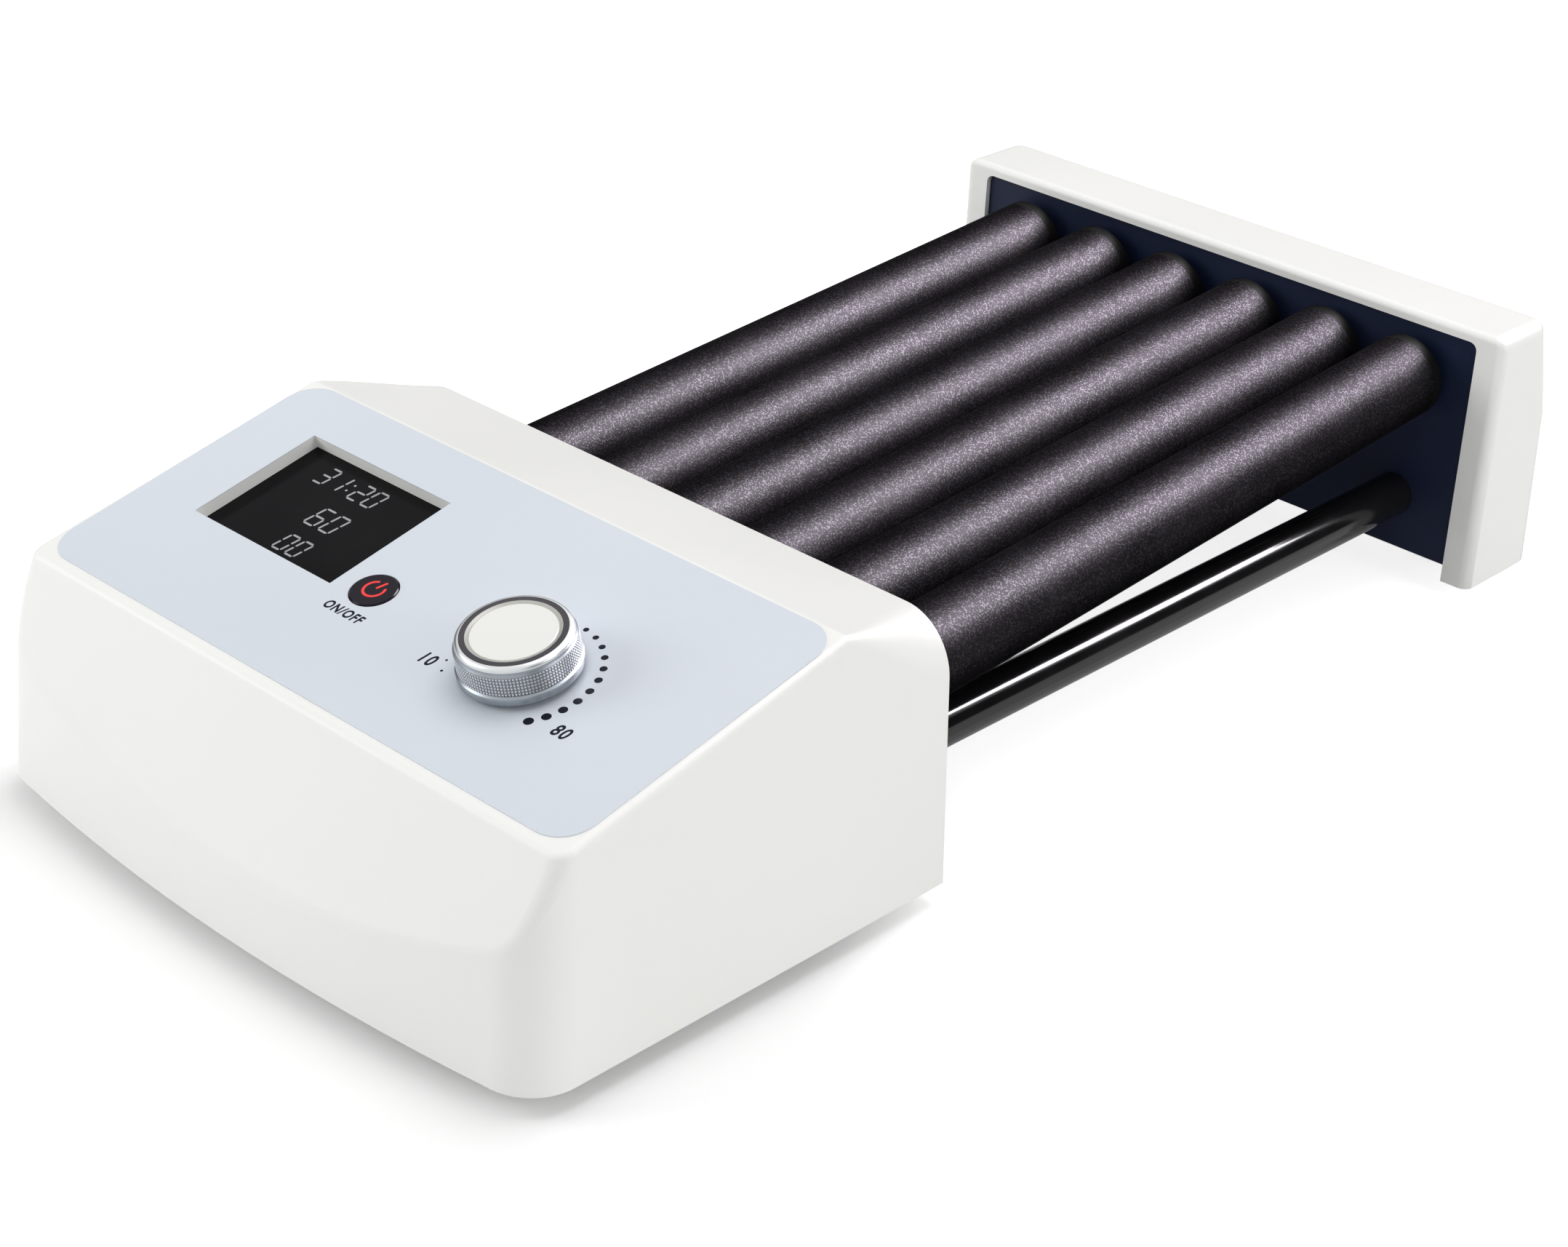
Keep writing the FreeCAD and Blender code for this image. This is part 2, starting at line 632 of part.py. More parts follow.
def make_overlay():
    body = new_body("Overlay")
    sketch = new_sketch(body, "XY_Plane")
    half = "(headWidth / 2 - overlaySide)"
    near, far = f"overlayFront - {SLOPE_LENGTH}", "-overlayRear"
    add_outline(sketch, rectangle(f"-{half}", half, near, far))
    window = rectangle(f"{LCD_X} - lcdWidth / 2", f"{LCD_X} + lcdWidth / 2",
                       "-(lcdDrop + lcdHeight / 2)", "-(lcdDrop - lcdHeight / 2)")
    add_outline(sketch, window)
    add_circle(sketch, KNOB_X, "-knobDrop", "shaftRadius + 2 * fitGap + cutMargin")
    add_circle(sketch, BUTTON_X, "-buttonDrop", "buttonRadius + fitGap")
    label = pad(body, sketch, "overlayThickness")

    def outer_corner(edge):
        ends = edge_ends(edge)
        upright = len(ends) == 2 and abs(ends[0].z - ends[1].z) > size("overlayThickness") / 2
        widest = max(vertex.X for vertex in label.Shape.Vertexes)
        return upright and abs(abs(ends[0].x) - widest) < CLOSE

    round_edges(body, label, "overlayCorner", outer_corner)
    node(on_panel(body), "panel_overlay")


def make_display():
    width, height = "lcdWidth + 2 * collarWall", "lcdHeight + 2 * collarWall"
    back = "-(lcdDepth + glassThickness)"
    node(panel_block("LcdGlass", LCD_X, "lcdDrop", width, height, back, "-lcdDepth"), "lcd_window")
    node(panel_block("LcdModule", LCD_X, "lcdDrop", width, height, "-boardDepth", back),
         "lcd_module")
    node(panel_block("DisplayBoard", "0", "(boardRear + boardFront) / 2", BOARD_WIDTH,
                     "boardFront - boardRear", "-(boardDepth + boardThickness)", "-boardDepth"),
         "display_board")


def make_knob():
    hole = "(shaftRadius + runningGap)"
    floor = "(shaftDepth + pressDepth + pressTravel + fitGap)"
    case = panel_block("EncoderCase", KNOB_X, "knobDrop", "encoderSize", "encoderSize",
                       "-boardDepth", f"-({PANEL_THICKNESS} + fitGap)")
    neck = panel_pin("EncoderNeck", KNOB_X, "knobDrop", "shaftRadius + 2 * fitGap + fitGap",
                     f"-({PANEL_THICKNESS} + cutMargin)", "overlayThickness")
    bore = panel_pin("EncoderBore", KNOB_X, "knobDrop", hole, f"-{floor}", "knobHeight")
    node(cut("Encoder", fuse("EncoderBlank", [case, neck]), [bore]), "encoder_body")
    node(panel_pin("Plunger", KNOB_X, "knobDrop", "shaftRadius - fitGap",
                   "-(shaftDepth + pressDepth)", "-shaftDepth"), "encoder_plunger")
    roof = "(knobHeight - knobShell)"
    node(panel_pin("ControlShaft", KNOB_X, "knobDrop", "shaftRadius", "-shaftDepth", roof),
         "encoder_shaft")

    inner = "(knobGrip - knobShell)"
    grip_foot = "(knobLift + knobSkirt)"
    profile = [
        ("shaftRadius", f"{grip_foot}"),
        ("2 * shaftRadius", f"{grip_foot}"),
        ("2 * shaftRadius", roof),
        (inner, roof),
        (inner, "knobLift"),
        ("knobRadius", "knobLift"),
        ("knobRadius", f"{grip_foot} - fitGap"),
        ("knobGrip", grip_foot),
        ("knobGrip", "knobHeight - knobBevel"),
        ("knobCrown", "knobHeight"),
        ("knobRing", "knobHeight"),
        ("knobRing", "knobHeight - discDepth"),
        ("0", "knobHeight - discDepth"),
        ("0", roof),
        ("shaftRadius", roof),
    ]
    knob = turned("KnobBody", profile)
    node(on_panel(knob, KNOB_X, "knobDrop"), "knob_body")
    ring = [("knobDisc", "knobHeight - discDepth"), ("knobRing", "knobHeight - discDepth"),
            ("knobRing", "knobHeight - fitGap"), ("knobDisc", "knobHeight - fitGap")]
    node(on_panel(turned("KnobRing", ring), KNOB_X, "knobDrop"), "knob_ring")
    disc = [("0", "knobHeight - discDepth"), ("knobDisc", "knobHeight - discDepth"),
            ("knobDisc", "knobHeight"), ("0", "knobHeight")]
    node(on_panel(turned("KnobDisc", disc), KNOB_X, "knobDrop"), "knob_disc")


def make_power_button():
    lip_top = f"-({PANEL_THICKNESS} + fitGap)"
    profile = [
        ("0", "-buttonStem"),
        ("shaftRadius", "-buttonStem"),
        ("shaftRadius", f"{lip_top} - buttonLip"),
        ("buttonRadius + buttonLip", f"{lip_top} - buttonLip"),
        ("buttonRadius + buttonLip", lip_top),
        ("buttonRadius", lip_top),
        ("buttonRadius", "buttonLift - fitGap"),
        ("buttonRadius - fitGap", "buttonLift"),
        ("0", "buttonLift"),
    ]
    button = turned("PowerButton", profile)
    node(on_panel(button, BUTTON_X, "buttonDrop"), "power_button")
    node(panel_block("PowerSwitch", BUTTON_X, "buttonDrop", "switchSize", "switchSize",
                     "-boardDepth", "-(buttonStem + buttonTravel + fitGap / 2)"), "power_switch")


# End plates, gear plate and what ties them together

def gear_module():
    mesh_angle = math.radians(90 * MESH_STEPS / GEAR_TEETH)
    return size("rollerPitch") / (2 * GEAR_TEETH * math.cos(mesh_angle))


MESH_ANGLE = f"(90 * {MESH_STEPS} / {GEAR_TEETH})"
IDLER_DROP = f"(rollerPitch / 2 * tan({MESH_ANGLE}))"
PINION_DROP = (f"({IDLER_DROP} + rollerPitch * {(GEAR_TEETH + PINION_TEETH) / (4 * GEAR_TEETH)}"
               f" / cos({MESH_ANGLE}))")


def end_holes():
    # Bearing and tie rod holes that both end plates share, in plate coordinates.
    bearings = [(roller_x(place), "axisHeight", BUSH_RADIUS) for place in range(ROLLERS)]
    rods = [(rod_x(side), "rodHeight", "rodScrewRadius") for side in SIDES]
    return bearings + rods


def pin_holes():
    height = f"axisHeight - {IDLER_DROP}"
    return [(idler_x(place), height, "pinRadius") for place in range(ROLLERS - 1)]


def spacer_places():
    # The upper spacers stand over the outer idlers, clear of the gears on both sides.
    upper = [(idler_x(place), "upperSpacer") for place in (0, ROLLERS - 2)]
    return upper + [(f"{side} * (headWidth / 2 - spacerSide)", "lowerSpacer") for side in SIDES]


def spacer_holes():
    return [(across, up, "screwRadius") for across, up in spacer_places()]


def bent_foot(name, start):
    half = "(headWidth / 2 - sideRim - flangeSide)"
    return box(name, f"2 * {half}", "flangeLength", "plateThickness", f"-{half}", start, COVER_TOP)


def make_end_plates():
    half = "(headWidth / 2 - sideRim - fitGap)"
    foot = "coverInset + coverThickness"
    head = plate_blank("HeadPlateBlank", half, foot, "headBackHeight - topRim - fitGap", "plateThickness",
                       "headPlateCorner", end_holes() + pin_holes() + spacer_holes())
    put(head, "0", f"{HEAD_FACE} - plateRecess", "footReach")
    head_foot = bent_foot("HeadPlateFoot", f"{HEAD_FACE} - {PLATE_BACK} - flangeLength")
    node(fuse("HeadPlate", [head, head_foot]), "head_end_plate")
    cap = plate_blank("CapPlateBlank", half, foot, "headHeight - topRim - fitGap", "plateThickness",
                      "capPlateCorner", end_holes())
    put(cap, "0", f"{CAP_FACE} + {PLATE_BACK}", "footReach")
    cap_foot = bent_foot("CapPlateFoot", f"{CAP_FACE} + {PLATE_BACK}")
    node(fuse("CapPlate", [cap, cap_foot]), "cap_end_plate")


def make_gear_plate():
    holes = [(roller_x(place), "axisHeight", BUSH_RADIUS) for place in range(ROLLERS)]
    holes += pin_holes() + spacer_holes()
    holes.append(("0", f"axisHeight - {PINION_DROP}", "2 * shaftRadius"))
    plate = plate_blank("GearPlate", "headWidth / 2 - gearPlateSide", "gearPlateFoot", "gearPlateTop",
                        "plateThickness", "headPlateCorner", holes)
    node(put(plate, "0", f"{HEAD_FACE} - gearPlateInset", "footReach"), "gear_plate")
    length = f"(gearPlateInset - {PLATE_BACK})"
    spacers = []
    screws = []
    for place, (x, up) in enumerate(spacer_places()):
        ring = rectangle("screwRadius", "spacerRadius", "0", length)
        y = f"{HEAD_FACE} - gearPlateInset"
        spacers.append(turned_along_y(f"Spacer{place}", ring, x, y, f"footReach + {up}"))
        shank = f"screwHeadHeight + 2 * plateThickness + {length}"
        screw = [("0", "0"), ("screwHead", "0"), ("screwHead", "screwHeadHeight"),
                 ("screwRadius", "screwHeadHeight"), ("screwRadius", shank), ("0", shank)]
        foot = f"{y} - plateThickness - screwHeadHeight"
        screws.append(turned_along_y(f"SpacerScrew{place}", screw, x, foot, f"footReach + {up}"))
    node(group("Spacers", spacers), "gear_plate_spacers")
    node(group("SpacerScrews", screws), "spacer_screws")


def make_tie_rods():
    length = "(barrelGap + 2 * plateRecess)"
    rods = []
    screws = []
    for place, side in enumerate(SIDES):
        x, z = rod_x(side), "footReach + rodHeight"
        radius, bore = "rodDiameter / 2", "rodScrewRadius"
        near, far = "(rodScrewLength + screwPlay)", f"({length} - rodScrewLength - screwPlay)"
        profile = [("0", near), (bore, near), (bore, "0"), (radius, "0"), (radius, length),
                   (bore, length), (bore, far), ("0", far)]
        rods.append(turned_along_y(f"TieRod{place}", profile, x, f"{HEAD_FACE} - plateRecess", z))
        shank = "(plateThickness + rodScrewLength)"
        head, pan = "rodHeadHeight", "rodScrewHead"
        near_screw = [("0", f"-{head}"), (pan, f"-{head}"), (pan, "0"), (bore, "0"), (bore, shank),
                      ("0", shank)]
        far_screw = [("0", f"-{shank}"), (bore, f"-{shank}"), (bore, "0"), (pan, "0"), (pan, head),
                     ("0", head)]
        near_seat, far_seat = f"{HEAD_FACE} - {PLATE_BACK}", f"{CAP_FACE} + {PLATE_BACK}"
        screws.append(turned_along_y(f"NearRodScrew{place}", near_screw, x, near_seat, z))
        screws.append(turned_along_y(f"FarRodScrew{place}", far_screw, x, far_seat, z))
    node(group("TieRods", rods), "tie_rods")
    node(group("RodScrews", screws), "tie_rod_screws")


# Bearings

def bush(name, x, y, flange_first):
    # A plain flanged bush along +Y, as long as its plate and its own flange.
    bore, sleeve, lip = "(stubRadius + runningGap)", BUSH_RADIUS, f"({BUSH_RADIUS} + bushLip)"
    length = "(plateThickness + bushFlange)"
    if flange_first:
        profile = [(bore, "0"), (lip, "0"), (lip, "bushFlange"), (sleeve, "bushFlange"), (sleeve, length),
                   (bore, length)]
    else:
        profile = [(bore, "0"), (sleeve, "0"), (sleeve, "plateThickness"), (lip, "plateThickness"),
                   (lip, length), (bore, length)]
    return turned_along_y(name, profile, x, y, AXIS_Z)


def make_bearings():
    seats = (
        ("near_bearings", "NearBush", f"{HEAD_FACE} - {PLATE_BACK} - bushFlange", True),
        ("gear_plate_bearings", "GearBush", f"{HEAD_FACE} - gearPlateInset - plateThickness", False),
        ("far_bearings", "FarBush", f"{CAP_FACE} + plateRecess", False),
    )
    for label, name, y, flange_first in seats:
        bushes = [bush(f"{name}{place}", roller_x(place), y, flange_first) for place in range(ROLLERS)]
        node(group(name + "es", bushes), label)


# Gear train: each roller's gear, the idlers between them, and the motor's pinion

def tooth_half_angle(teeth, module, radius):
    # Half the angle that a tooth fills at this radius, for involute flanks.
    pitch_radius = module * teeth / 2
    base_radius = pitch_radius * math.cos(PRESSURE_ANGLE)
    lean = math.acos(min(1, base_radius / radius))
    involute = math.tan(PRESSURE_ANGLE) - PRESSURE_ANGLE - (math.tan(lean) - lean)
    return math.pi / (2 * teeth) - size("backlash") / (2 * pitch_radius) + involute


def gear_solid(teeth, bore, phase, hub_radius, hub_near, hub_far):
    # Depths are behind the head's back face, so the gear lies along -Y from it.
    module = gear_module()
    root, tip = module * (teeth / 2 - DEDENDUM), module * (teeth / 2 + ADDENDUM)
    flank = (root, (root + module * teeth / 2) / 2, module * teeth / 2, tip)
    points = []
    for tooth in range(teeth):
        middle = math.radians(phase) + 2 * math.pi * tooth / teeth
        rise = [(radius, middle - tooth_half_angle(teeth, module, radius)) for radius in flank]
        fall = [(radius, middle + tooth_half_angle(teeth, module, radius)) for radius in reversed(flank)]
        for radius, angle in rise + fall:
            points.append(FreeCAD.Vector(radius * math.cos(angle), 0, radius * math.sin(angle)))
    near = size("gearInset")
    outline = Part.Face(Part.makePolygon(points + [points[0]]))
    solid = outline.extrude(FreeCAD.Vector(0, -size("gearWidth"), 0))
    solid.translate(FreeCAD.Vector(0, -near, 0))
    start = FreeCAD.Vector(0, -hub_far, 0)
    along = FreeCAD.Vector(0, 1, 0)
    hub = Part.makeCylinder(hub_radius, hub_far - hub_near, start, along)
    solid = solid.fuse(hub)
    if bore:
        solid = solid.cut(Part.makeCylinder(bore, hub_far - hub_near, start, along))
    return solid


def place_gear(name, label, solid, x, drop):
    item = doc.addObject("Part::Feature", name)
    item.Shape = solid
    node(put(item, x, HEAD_FACE, f"{AXIS_Z} - ({drop})"), label)


def make_gears():
    plate_back = size("plateRecess") + size("plateThickness")
    gear_plate = size("gearPlateInset")
    flange, play = size("bushFlange"), size("hubGap")
    wall = size("gearHub")
    shaft = size("stubRadius")
    for place in range(ROLLERS):
        solid = gear_solid(GEAR_TEETH, shaft, 0, shaft + wall, plate_back + flange + play,
                           gear_plate - flange - play)
        place_gear(f"RollerGear{place + 1}", f"roller_{place + 1}_gear", solid, roller_x(place), "0")
    pin = size("pinRadius")
    half_tooth = 180 / GEAR_TEETH
    pins = []
    for place in range(ROLLERS - 1):
        solid = gear_solid(GEAR_TEETH, pin + size("runningGap"), half_tooth, pin + wall, plate_back + play,
                           gear_plate - play)
        place_gear(f"IdlerGear{place + 1}", f"idler_gear_{place + 1}", solid, idler_x(place), IDLER_DROP)
        pins.append(cylinder_along_y(f"IdlerPin{place}", "pinRadius",
                                     "gearPlateInset + plateThickness - plateRecess", idler_x(place),
                                     f"{HEAD_FACE} - gearPlateInset - plateThickness",
                                     f"{AXIS_Z} - {IDLER_DROP}"))
    node(group("IdlerPins", pins), "idler_pins")


def make_motor():
    x, z = "0", f"{AXIS_Z} - {PINION_DROP}"
    face = f"{HEAD_FACE} - gearPlateInset - plateThickness"
    can = "(gearboxLength + motorLength)"
    profile = [("0", "0"), ("motorRadius", "0"), ("motorRadius", "motorLength"),
               ("gearboxRadius", "motorLength"), ("gearboxRadius", can),
               ("shaftRadius + runningGap", can), ("shaftRadius + runningGap", f"{can} - motorBore"),
               ("0", f"{can} - motorBore")]
    node(turned_along_y("GearMotor", profile, x, f"{face} - {can}", z), "gear_motor")
    shaft_end = size("gearPlateInset") + size("plateThickness") + size("motorBore") - size("cutMargin")
    start = size("gearInset") - size("cutMargin")
    solid = gear_solid(PINION_TEETH, 0, 0, size("shaftRadius"), start, shaft_end)
    place_gear("MotorPinion", "motor_pinion", solid, x, PINION_DROP)


# Rollers

def skewed(name, radius, start, length, x):
    item = cylinder(name, radius, length, "0", "0", "0")
    turn(item, -X_AXIS, STEEPNESS)
    return put(item, x, *on_roller(start))


def make_roller(place):
    x = roller_x(place)
    label = f"roller_{place + 1}"
    half = f"({ROLLER_LENGTH} / 2)"
    outer, inner = "rollerDiameter / 2", "rollerDiameter / 2 - tubeWall"
    start, length = f"hubFlange - {half}", f"2 * {half} - 2 * hubFlange"
    bore = skewed(f"RollerBore{place}", inner, f"{start} - cutMargin", f"{length} + 2 * cutMargin", x)
    tube = cut(f"RollerTube{place}", skewed(f"RollerBlank{place}", outer, start, length, x), [bore])
    node(tube, f"{label}_tube")

    near_end = f"{HEAD_FACE} - gearPlateInset - plateThickness - stubTail"
    near_length = "gearPlateInset + plateThickness + stubTail + endGap + hubFlange / 2"
    near = fuse(f"NearHub{place}", [
        skewed(f"NearDisc{place}", outer, f"-{half}", "hubFlange", x),
        skewed(f"NearPlug{place}", inner, f"-{half}", "hubFlange + plugLength", x),
        cylinder_along_y(f"NearStub{place}", "stubRadius", near_length, x, near_end, AXIS_Z),
    ])
    far_end = f"{CAP_FACE} - endGap - hubFlange / 2"
    far_length = f"endGap + hubFlange / 2 + {PLATE_BACK} + bushFlange + stubTail"
    far = fuse(f"FarHub{place}", [
        skewed(f"FarDisc{place}", outer, f"{half} - hubFlange", "hubFlange", x),
        skewed(f"FarPlug{place}", inner, f"{half} - hubFlange - plugLength", "hubFlange + plugLength", x),
        cylinder_along_y(f"FarStub{place}", "stubRadius", far_length, x, far_end, AXIS_Z),
    ])
    node(group(f"RollerHubs{place}", [near, far]), f"{label}_hubs")


# End cap

def cap_side(name, width, corners):
    body = new_body(name)
    sketch = new_sketch(body, "YZ_Plane")
    add_outline(sketch, corners)
    pad(body, sketch, width, midplane=True)
    return body


def cap_post_places():
    return [(f"{side} * (headWidth / 2 - postInset)", f"{CAP_FACE} + capPostInset") for side in SIDES]


def make_end_cap():
    outline = [("0", "0"), ("0", "headHeight"), ("capStrip", "headHeight"),
               ("capShoulder", "capShoulderHeight"), ("capDepth", "0")]
    outer = cap_side("CapOuter", "headWidth", outline)

    def soft_edge(edge):
        ends = edge_ends(edge)
        on_front = all(point.y < CLOSE for point in ends)
        on_foot = all(point.z < CLOSE for point in ends)
        return not on_front and not on_foot

    round_edges(outer, outer.Tip, "capEdge", soft_edge)
    put(outer, "0", CAP_FACE, "footReach")
    inside = [("rimDepth", "-cutMargin"), ("rimDepth", "headHeight - wall"),
              ("capStrip - wall", "headHeight - wall"), ("capShoulder - wall", "capShoulderHeight"),
              ("capDepth - wall", "-cutMargin")]
    hollow = cap_side("CapHollow", "headWidth - 2 * wall", inside)
    put(hollow, "0", CAP_FACE, "footReach")
    rim = plate_blank("CapRim", "headWidth / 2 - sideRim", "-cutMargin", "headHeight - topRim",
                      "rimDepth + 2 * cutMargin", "capPlateCorner")
    put(rim, "0", f"{CAP_FACE} + rimDepth + cutMargin", "footReach")
    posts = [cylinder(f"CapPost{place}", "postRadius", "headHeight", x, y, COVER_TOP)
             for place, (x, y) in enumerate(cap_post_places())]
    trimmed = common("CapPosts", [outer, fuse("CapPostBlanks", posts)])
    holes = [cylinder(f"CapPostHole{place}", "screwRadius", "screwLength + screwPlay + cutMargin", x, y,
                      f"{COVER_TOP} - cutMargin")
             for place, (x, y) in enumerate(cap_post_places())]
    skin = cut("CapSkin", outer, [hollow, rim])
    node(cut("CapShell", fuse("CapSolid", [skin, trimmed]), holes), "cap_shell")


def make_cap_base():
    half = "(headWidth / 2 - wall - fitGap)"
    start = f"{CAP_FACE} + rimDepth + fitGap"
    depth = "capDepth - wall - rimDepth - 3 * fitGap - cutMargin"
    blank = box("CapCover", f"2 * {half}", depth, "coverThickness", f"-{half}", start, COVER_FOOT)
    holes = [cylinder(f"CapCoverHole{place}", "screwRadius", "coverThickness + 2 * cutMargin", x, y,
                      f"{COVER_FOOT} - cutMargin")
             for place, (x, y) in enumerate(cap_post_places())]
    node(cut("CapBase", blank, holes), "cap_base")
    screws = [cover_screw(f"CapScrew{place}", x, y) for place, (x, y) in enumerate(cap_post_places())]
    node(group("CapScrews", screws), "cap_base_screws")
    feet = [rubber_foot(f"CapFoot{place}", f"{side} * (headWidth / 2 - footSide)",
                        f"{CAP_FACE} + capFootInset") for place, side in enumerate(SIDES)]
    node(group("CapFeet", feet), "cap_feet")


# Checks, then one file for each node

def check_document():
    doc.recompute()
    failed = [item.Name for item in doc.Objects if {"Invalid", "Error"} & set(item.State)]
    if failed:
        raise RuntimeError("failed objects: " + ", ".join(failed))
    for item in nodes:
        if item.Shape.isNull() or not item.Shape.isValid() or not item.Shape.Solids:
            raise RuntimeError("bad shape: " + item.Label)


def export_nodes():
    os.makedirs("parts", exist_ok=True)
    for item in nodes:
        item.Shape.exportStep(f"parts/{item.Label}.step")
        print(item.Label, len(item.Shape.Solids), round(item.Shape.Volume, 1))


make_head_shell()
make_head_base()
make_inlet()
make_overlay()
make_display()
make_knob()
make_power_button()
make_end_plates()
make_gear_plate()
make_tie_rods()
make_bearings()
make_gears()
make_motor()
for roller in range(ROLLERS):
    make_roller(roller)
make_end_cap()
make_cap_base()
check_document()
export_nodes()
print("nodes", len(nodes))
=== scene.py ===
import json
import math
import bmesh
import bpy
from mathutils import Matrix, Vector


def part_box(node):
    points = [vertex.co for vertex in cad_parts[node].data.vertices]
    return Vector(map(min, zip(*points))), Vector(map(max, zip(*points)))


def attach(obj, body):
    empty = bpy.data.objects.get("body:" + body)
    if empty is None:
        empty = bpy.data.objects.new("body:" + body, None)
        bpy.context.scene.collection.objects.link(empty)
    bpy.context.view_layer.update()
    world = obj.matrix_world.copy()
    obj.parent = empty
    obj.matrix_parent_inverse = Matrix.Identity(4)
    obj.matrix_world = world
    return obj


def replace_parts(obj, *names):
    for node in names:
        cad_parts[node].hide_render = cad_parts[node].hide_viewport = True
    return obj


# Bench roller mixer: six skewed rollers between a sloping control head and an end cap.

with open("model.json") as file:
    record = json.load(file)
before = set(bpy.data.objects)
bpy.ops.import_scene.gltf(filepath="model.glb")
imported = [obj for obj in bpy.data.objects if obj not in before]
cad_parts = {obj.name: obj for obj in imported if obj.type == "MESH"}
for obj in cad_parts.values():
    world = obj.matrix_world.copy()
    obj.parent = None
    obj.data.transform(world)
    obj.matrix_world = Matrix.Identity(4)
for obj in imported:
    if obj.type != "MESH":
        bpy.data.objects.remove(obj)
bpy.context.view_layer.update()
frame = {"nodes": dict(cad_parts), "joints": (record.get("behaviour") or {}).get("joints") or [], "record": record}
mm = 0.001
scene = bpy.context.scene
slotOf = {part["node"]: part["material_slot"] for part in frame["record"]["subparts"]}
jointOf = {joint["name"]: joint for joint in frame["joints"]}
print("frame loaded:", len(frame["nodes"]), "nodes")


# Camera, as the photograph was taken

photo = {
    "place": (612.27, -689.66, 504.99),
    "target": (41.39, -64.25, 57.77),
    "roll": 2.80,
    "lens": 71.48,
    "sensor": 36,
    "farthest": 20,
}


def addCamera():
    lens = bpy.data.cameras.new("photoCamera")
    lens.lens = photo["lens"]
    lens.sensor_width = photo["sensor"]
    lens.sensor_fit = "HORIZONTAL"
    lens.clip_end = photo["farthest"]
    camera = bpy.data.objects.new("photoCamera", lens)
    scene.collection.objects.link(camera)
    place = Vector(photo["place"]) * mm
    back = (place - Vector(photo["target"]) * mm).normalized()
    right = (-back).cross(Vector((0, 0, 1))).normalized()
    up = back.cross(right)
    roll = math.radians(photo["roll"])
    across = right * math.cos(roll) + up * math.sin(roll)
    upward = up * math.cos(roll) - right * math.sin(roll)
    camera.matrix_world = Matrix.Translation(place) @ Matrix((across, upward, back)).transposed().to_4x4()
    scene.camera = camera


addCamera()
print("camera set")


# Studio: white floor, white surroundings, large soft lamps and dark cards

studio = {
    "skyStrength": 0.52,
    "floorSize": 6,
    "floorColor": 0.90,
    "floorRoughness": 0.9,
    "floorGloss": 0.1,
    "glowNear": 0.13,  # the floor glows less round glowPlace, so that the contact shadow shows there
    "glowFar": 0.75,
    "glossyGlow": 0.15,
    "glowPlace": (0.03, -0.25, 0.0),
    "glowReach": (0.14, 0.24),
    "lamps": (  # name, place, aim, width, height, watts, colour
        ("overheadLamp", (0.10, 0.30, 1.40), (0.0, 0.06, 0.05), 0.90, 0.90, 7.4, (1.0, 0.965, 0.975)),
        ("leftLamp", (-1.10, -1.15, 0.70), (0.0, -0.10, 0.05), 0.90, 0.90, 10.6, (1.0, 1.0, 1.0)),
        ("rightLamp", (1.45, 0.15, 0.55), (0.0, -0.10, 0.05), 0.80, 0.80, 4.6, (1.0, 1.0, 1.0)),
    ),
    "streakLamp": ("streakLamp", (0.37, 1.05, 1.10), (0.05, 0.0, 0.07), 0.80, 0.80, 76.0, (1.0, 0.95, 1.0)),
    "cardColor": 0.02,
    "cards": (  # name, place, turn, width, height
        ("leftCard", (-1.30, 0.10, 0.42), 90.0, 3.2, 0.80),
        ("rightCard", (1.50, 0.60, 0.62), -90.0, 3.2, 1.20),
        ("backCard", (-0.60, 2.00, 0.62), 0.0, 4.4, 1.20),
    ),
}


def addLamp(name, place, aim, width, height, power, color):
    light = bpy.data.lights.new(name, "AREA")
    light.shape = "RECTANGLE"
    light.size = width
    light.size_y = height
    light.energy = power
    light.color = color
    lamp = bpy.data.objects.new(name, light)
    lamp.location = place
    lamp.rotation_euler = (Vector(place) - Vector(aim)).to_track_quat("Z", "Y").to_euler()
    scene.collection.objects.link(lamp)
    return lamp


def addCard(name, place, turn, width, height):
    # A dark card that only reflections see, so that glossy rounds get their dark edges.
    bm = bmesh.new()
    bmesh.ops.create_grid(bm, x_segments=1, y_segments=1, size=0.5)
    bmesh.ops.scale(bm, vec=(width, height, 1), verts=bm.verts)
    upright = Matrix.Rotation(math.radians(90), 4, "X")
    facing = Matrix.Rotation(math.radians(turn), 4, "Z")
    bmesh.ops.transform(bm, matrix=Matrix.Translation(place) @ facing @ upright, verts=bm.verts)
    mesh = bpy.data.meshes.new(name)
    bm.to_mesh(mesh)
    bm.free()
    card = bpy.data.objects.new(name, mesh)
    scene.collection.objects.link(card)
    card.visible_camera = False
    card.visible_diffuse = False
    card.visible_shadow = False
    card.visible_transmission = False
    material = bpy.data.materials.new(name)
    material.use_nodes = True
    shader = material.node_tree.nodes["Principled BSDF"]
    shader.inputs["Base Color"].default_value = (studio["cardColor"],) * 3 + (1,)
    mesh.materials.append(material)


def addSky():
    world = bpy.data.worlds.new("studioWorld")
    scene.world = world
    world.use_nodes = True
    nodes, links = world.node_tree.nodes, world.node_tree.links
    sky = nodes["Background"]
    path = nodes.new("ShaderNodeLightPath")
    seen = nodes.new("ShaderNodeMath")
    seen.operation = "MAXIMUM"
    strength = nodes.new("ShaderNodeMapRange")
    strength.inputs["To Min"].default_value = studio["skyStrength"]
    strength.inputs["To Max"].default_value = 1.0
    links.new(path.outputs["Is Camera Ray"], seen.inputs[0])
    links.new(path.outputs["Is Glossy Ray"], seen.inputs[1])
    links.new(seen.outputs[0], strength.inputs["Value"])
    links.new(strength.outputs["Result"], sky.inputs["Strength"])
    sky.inputs["Color"].default_value = (1, 1, 1, 1)


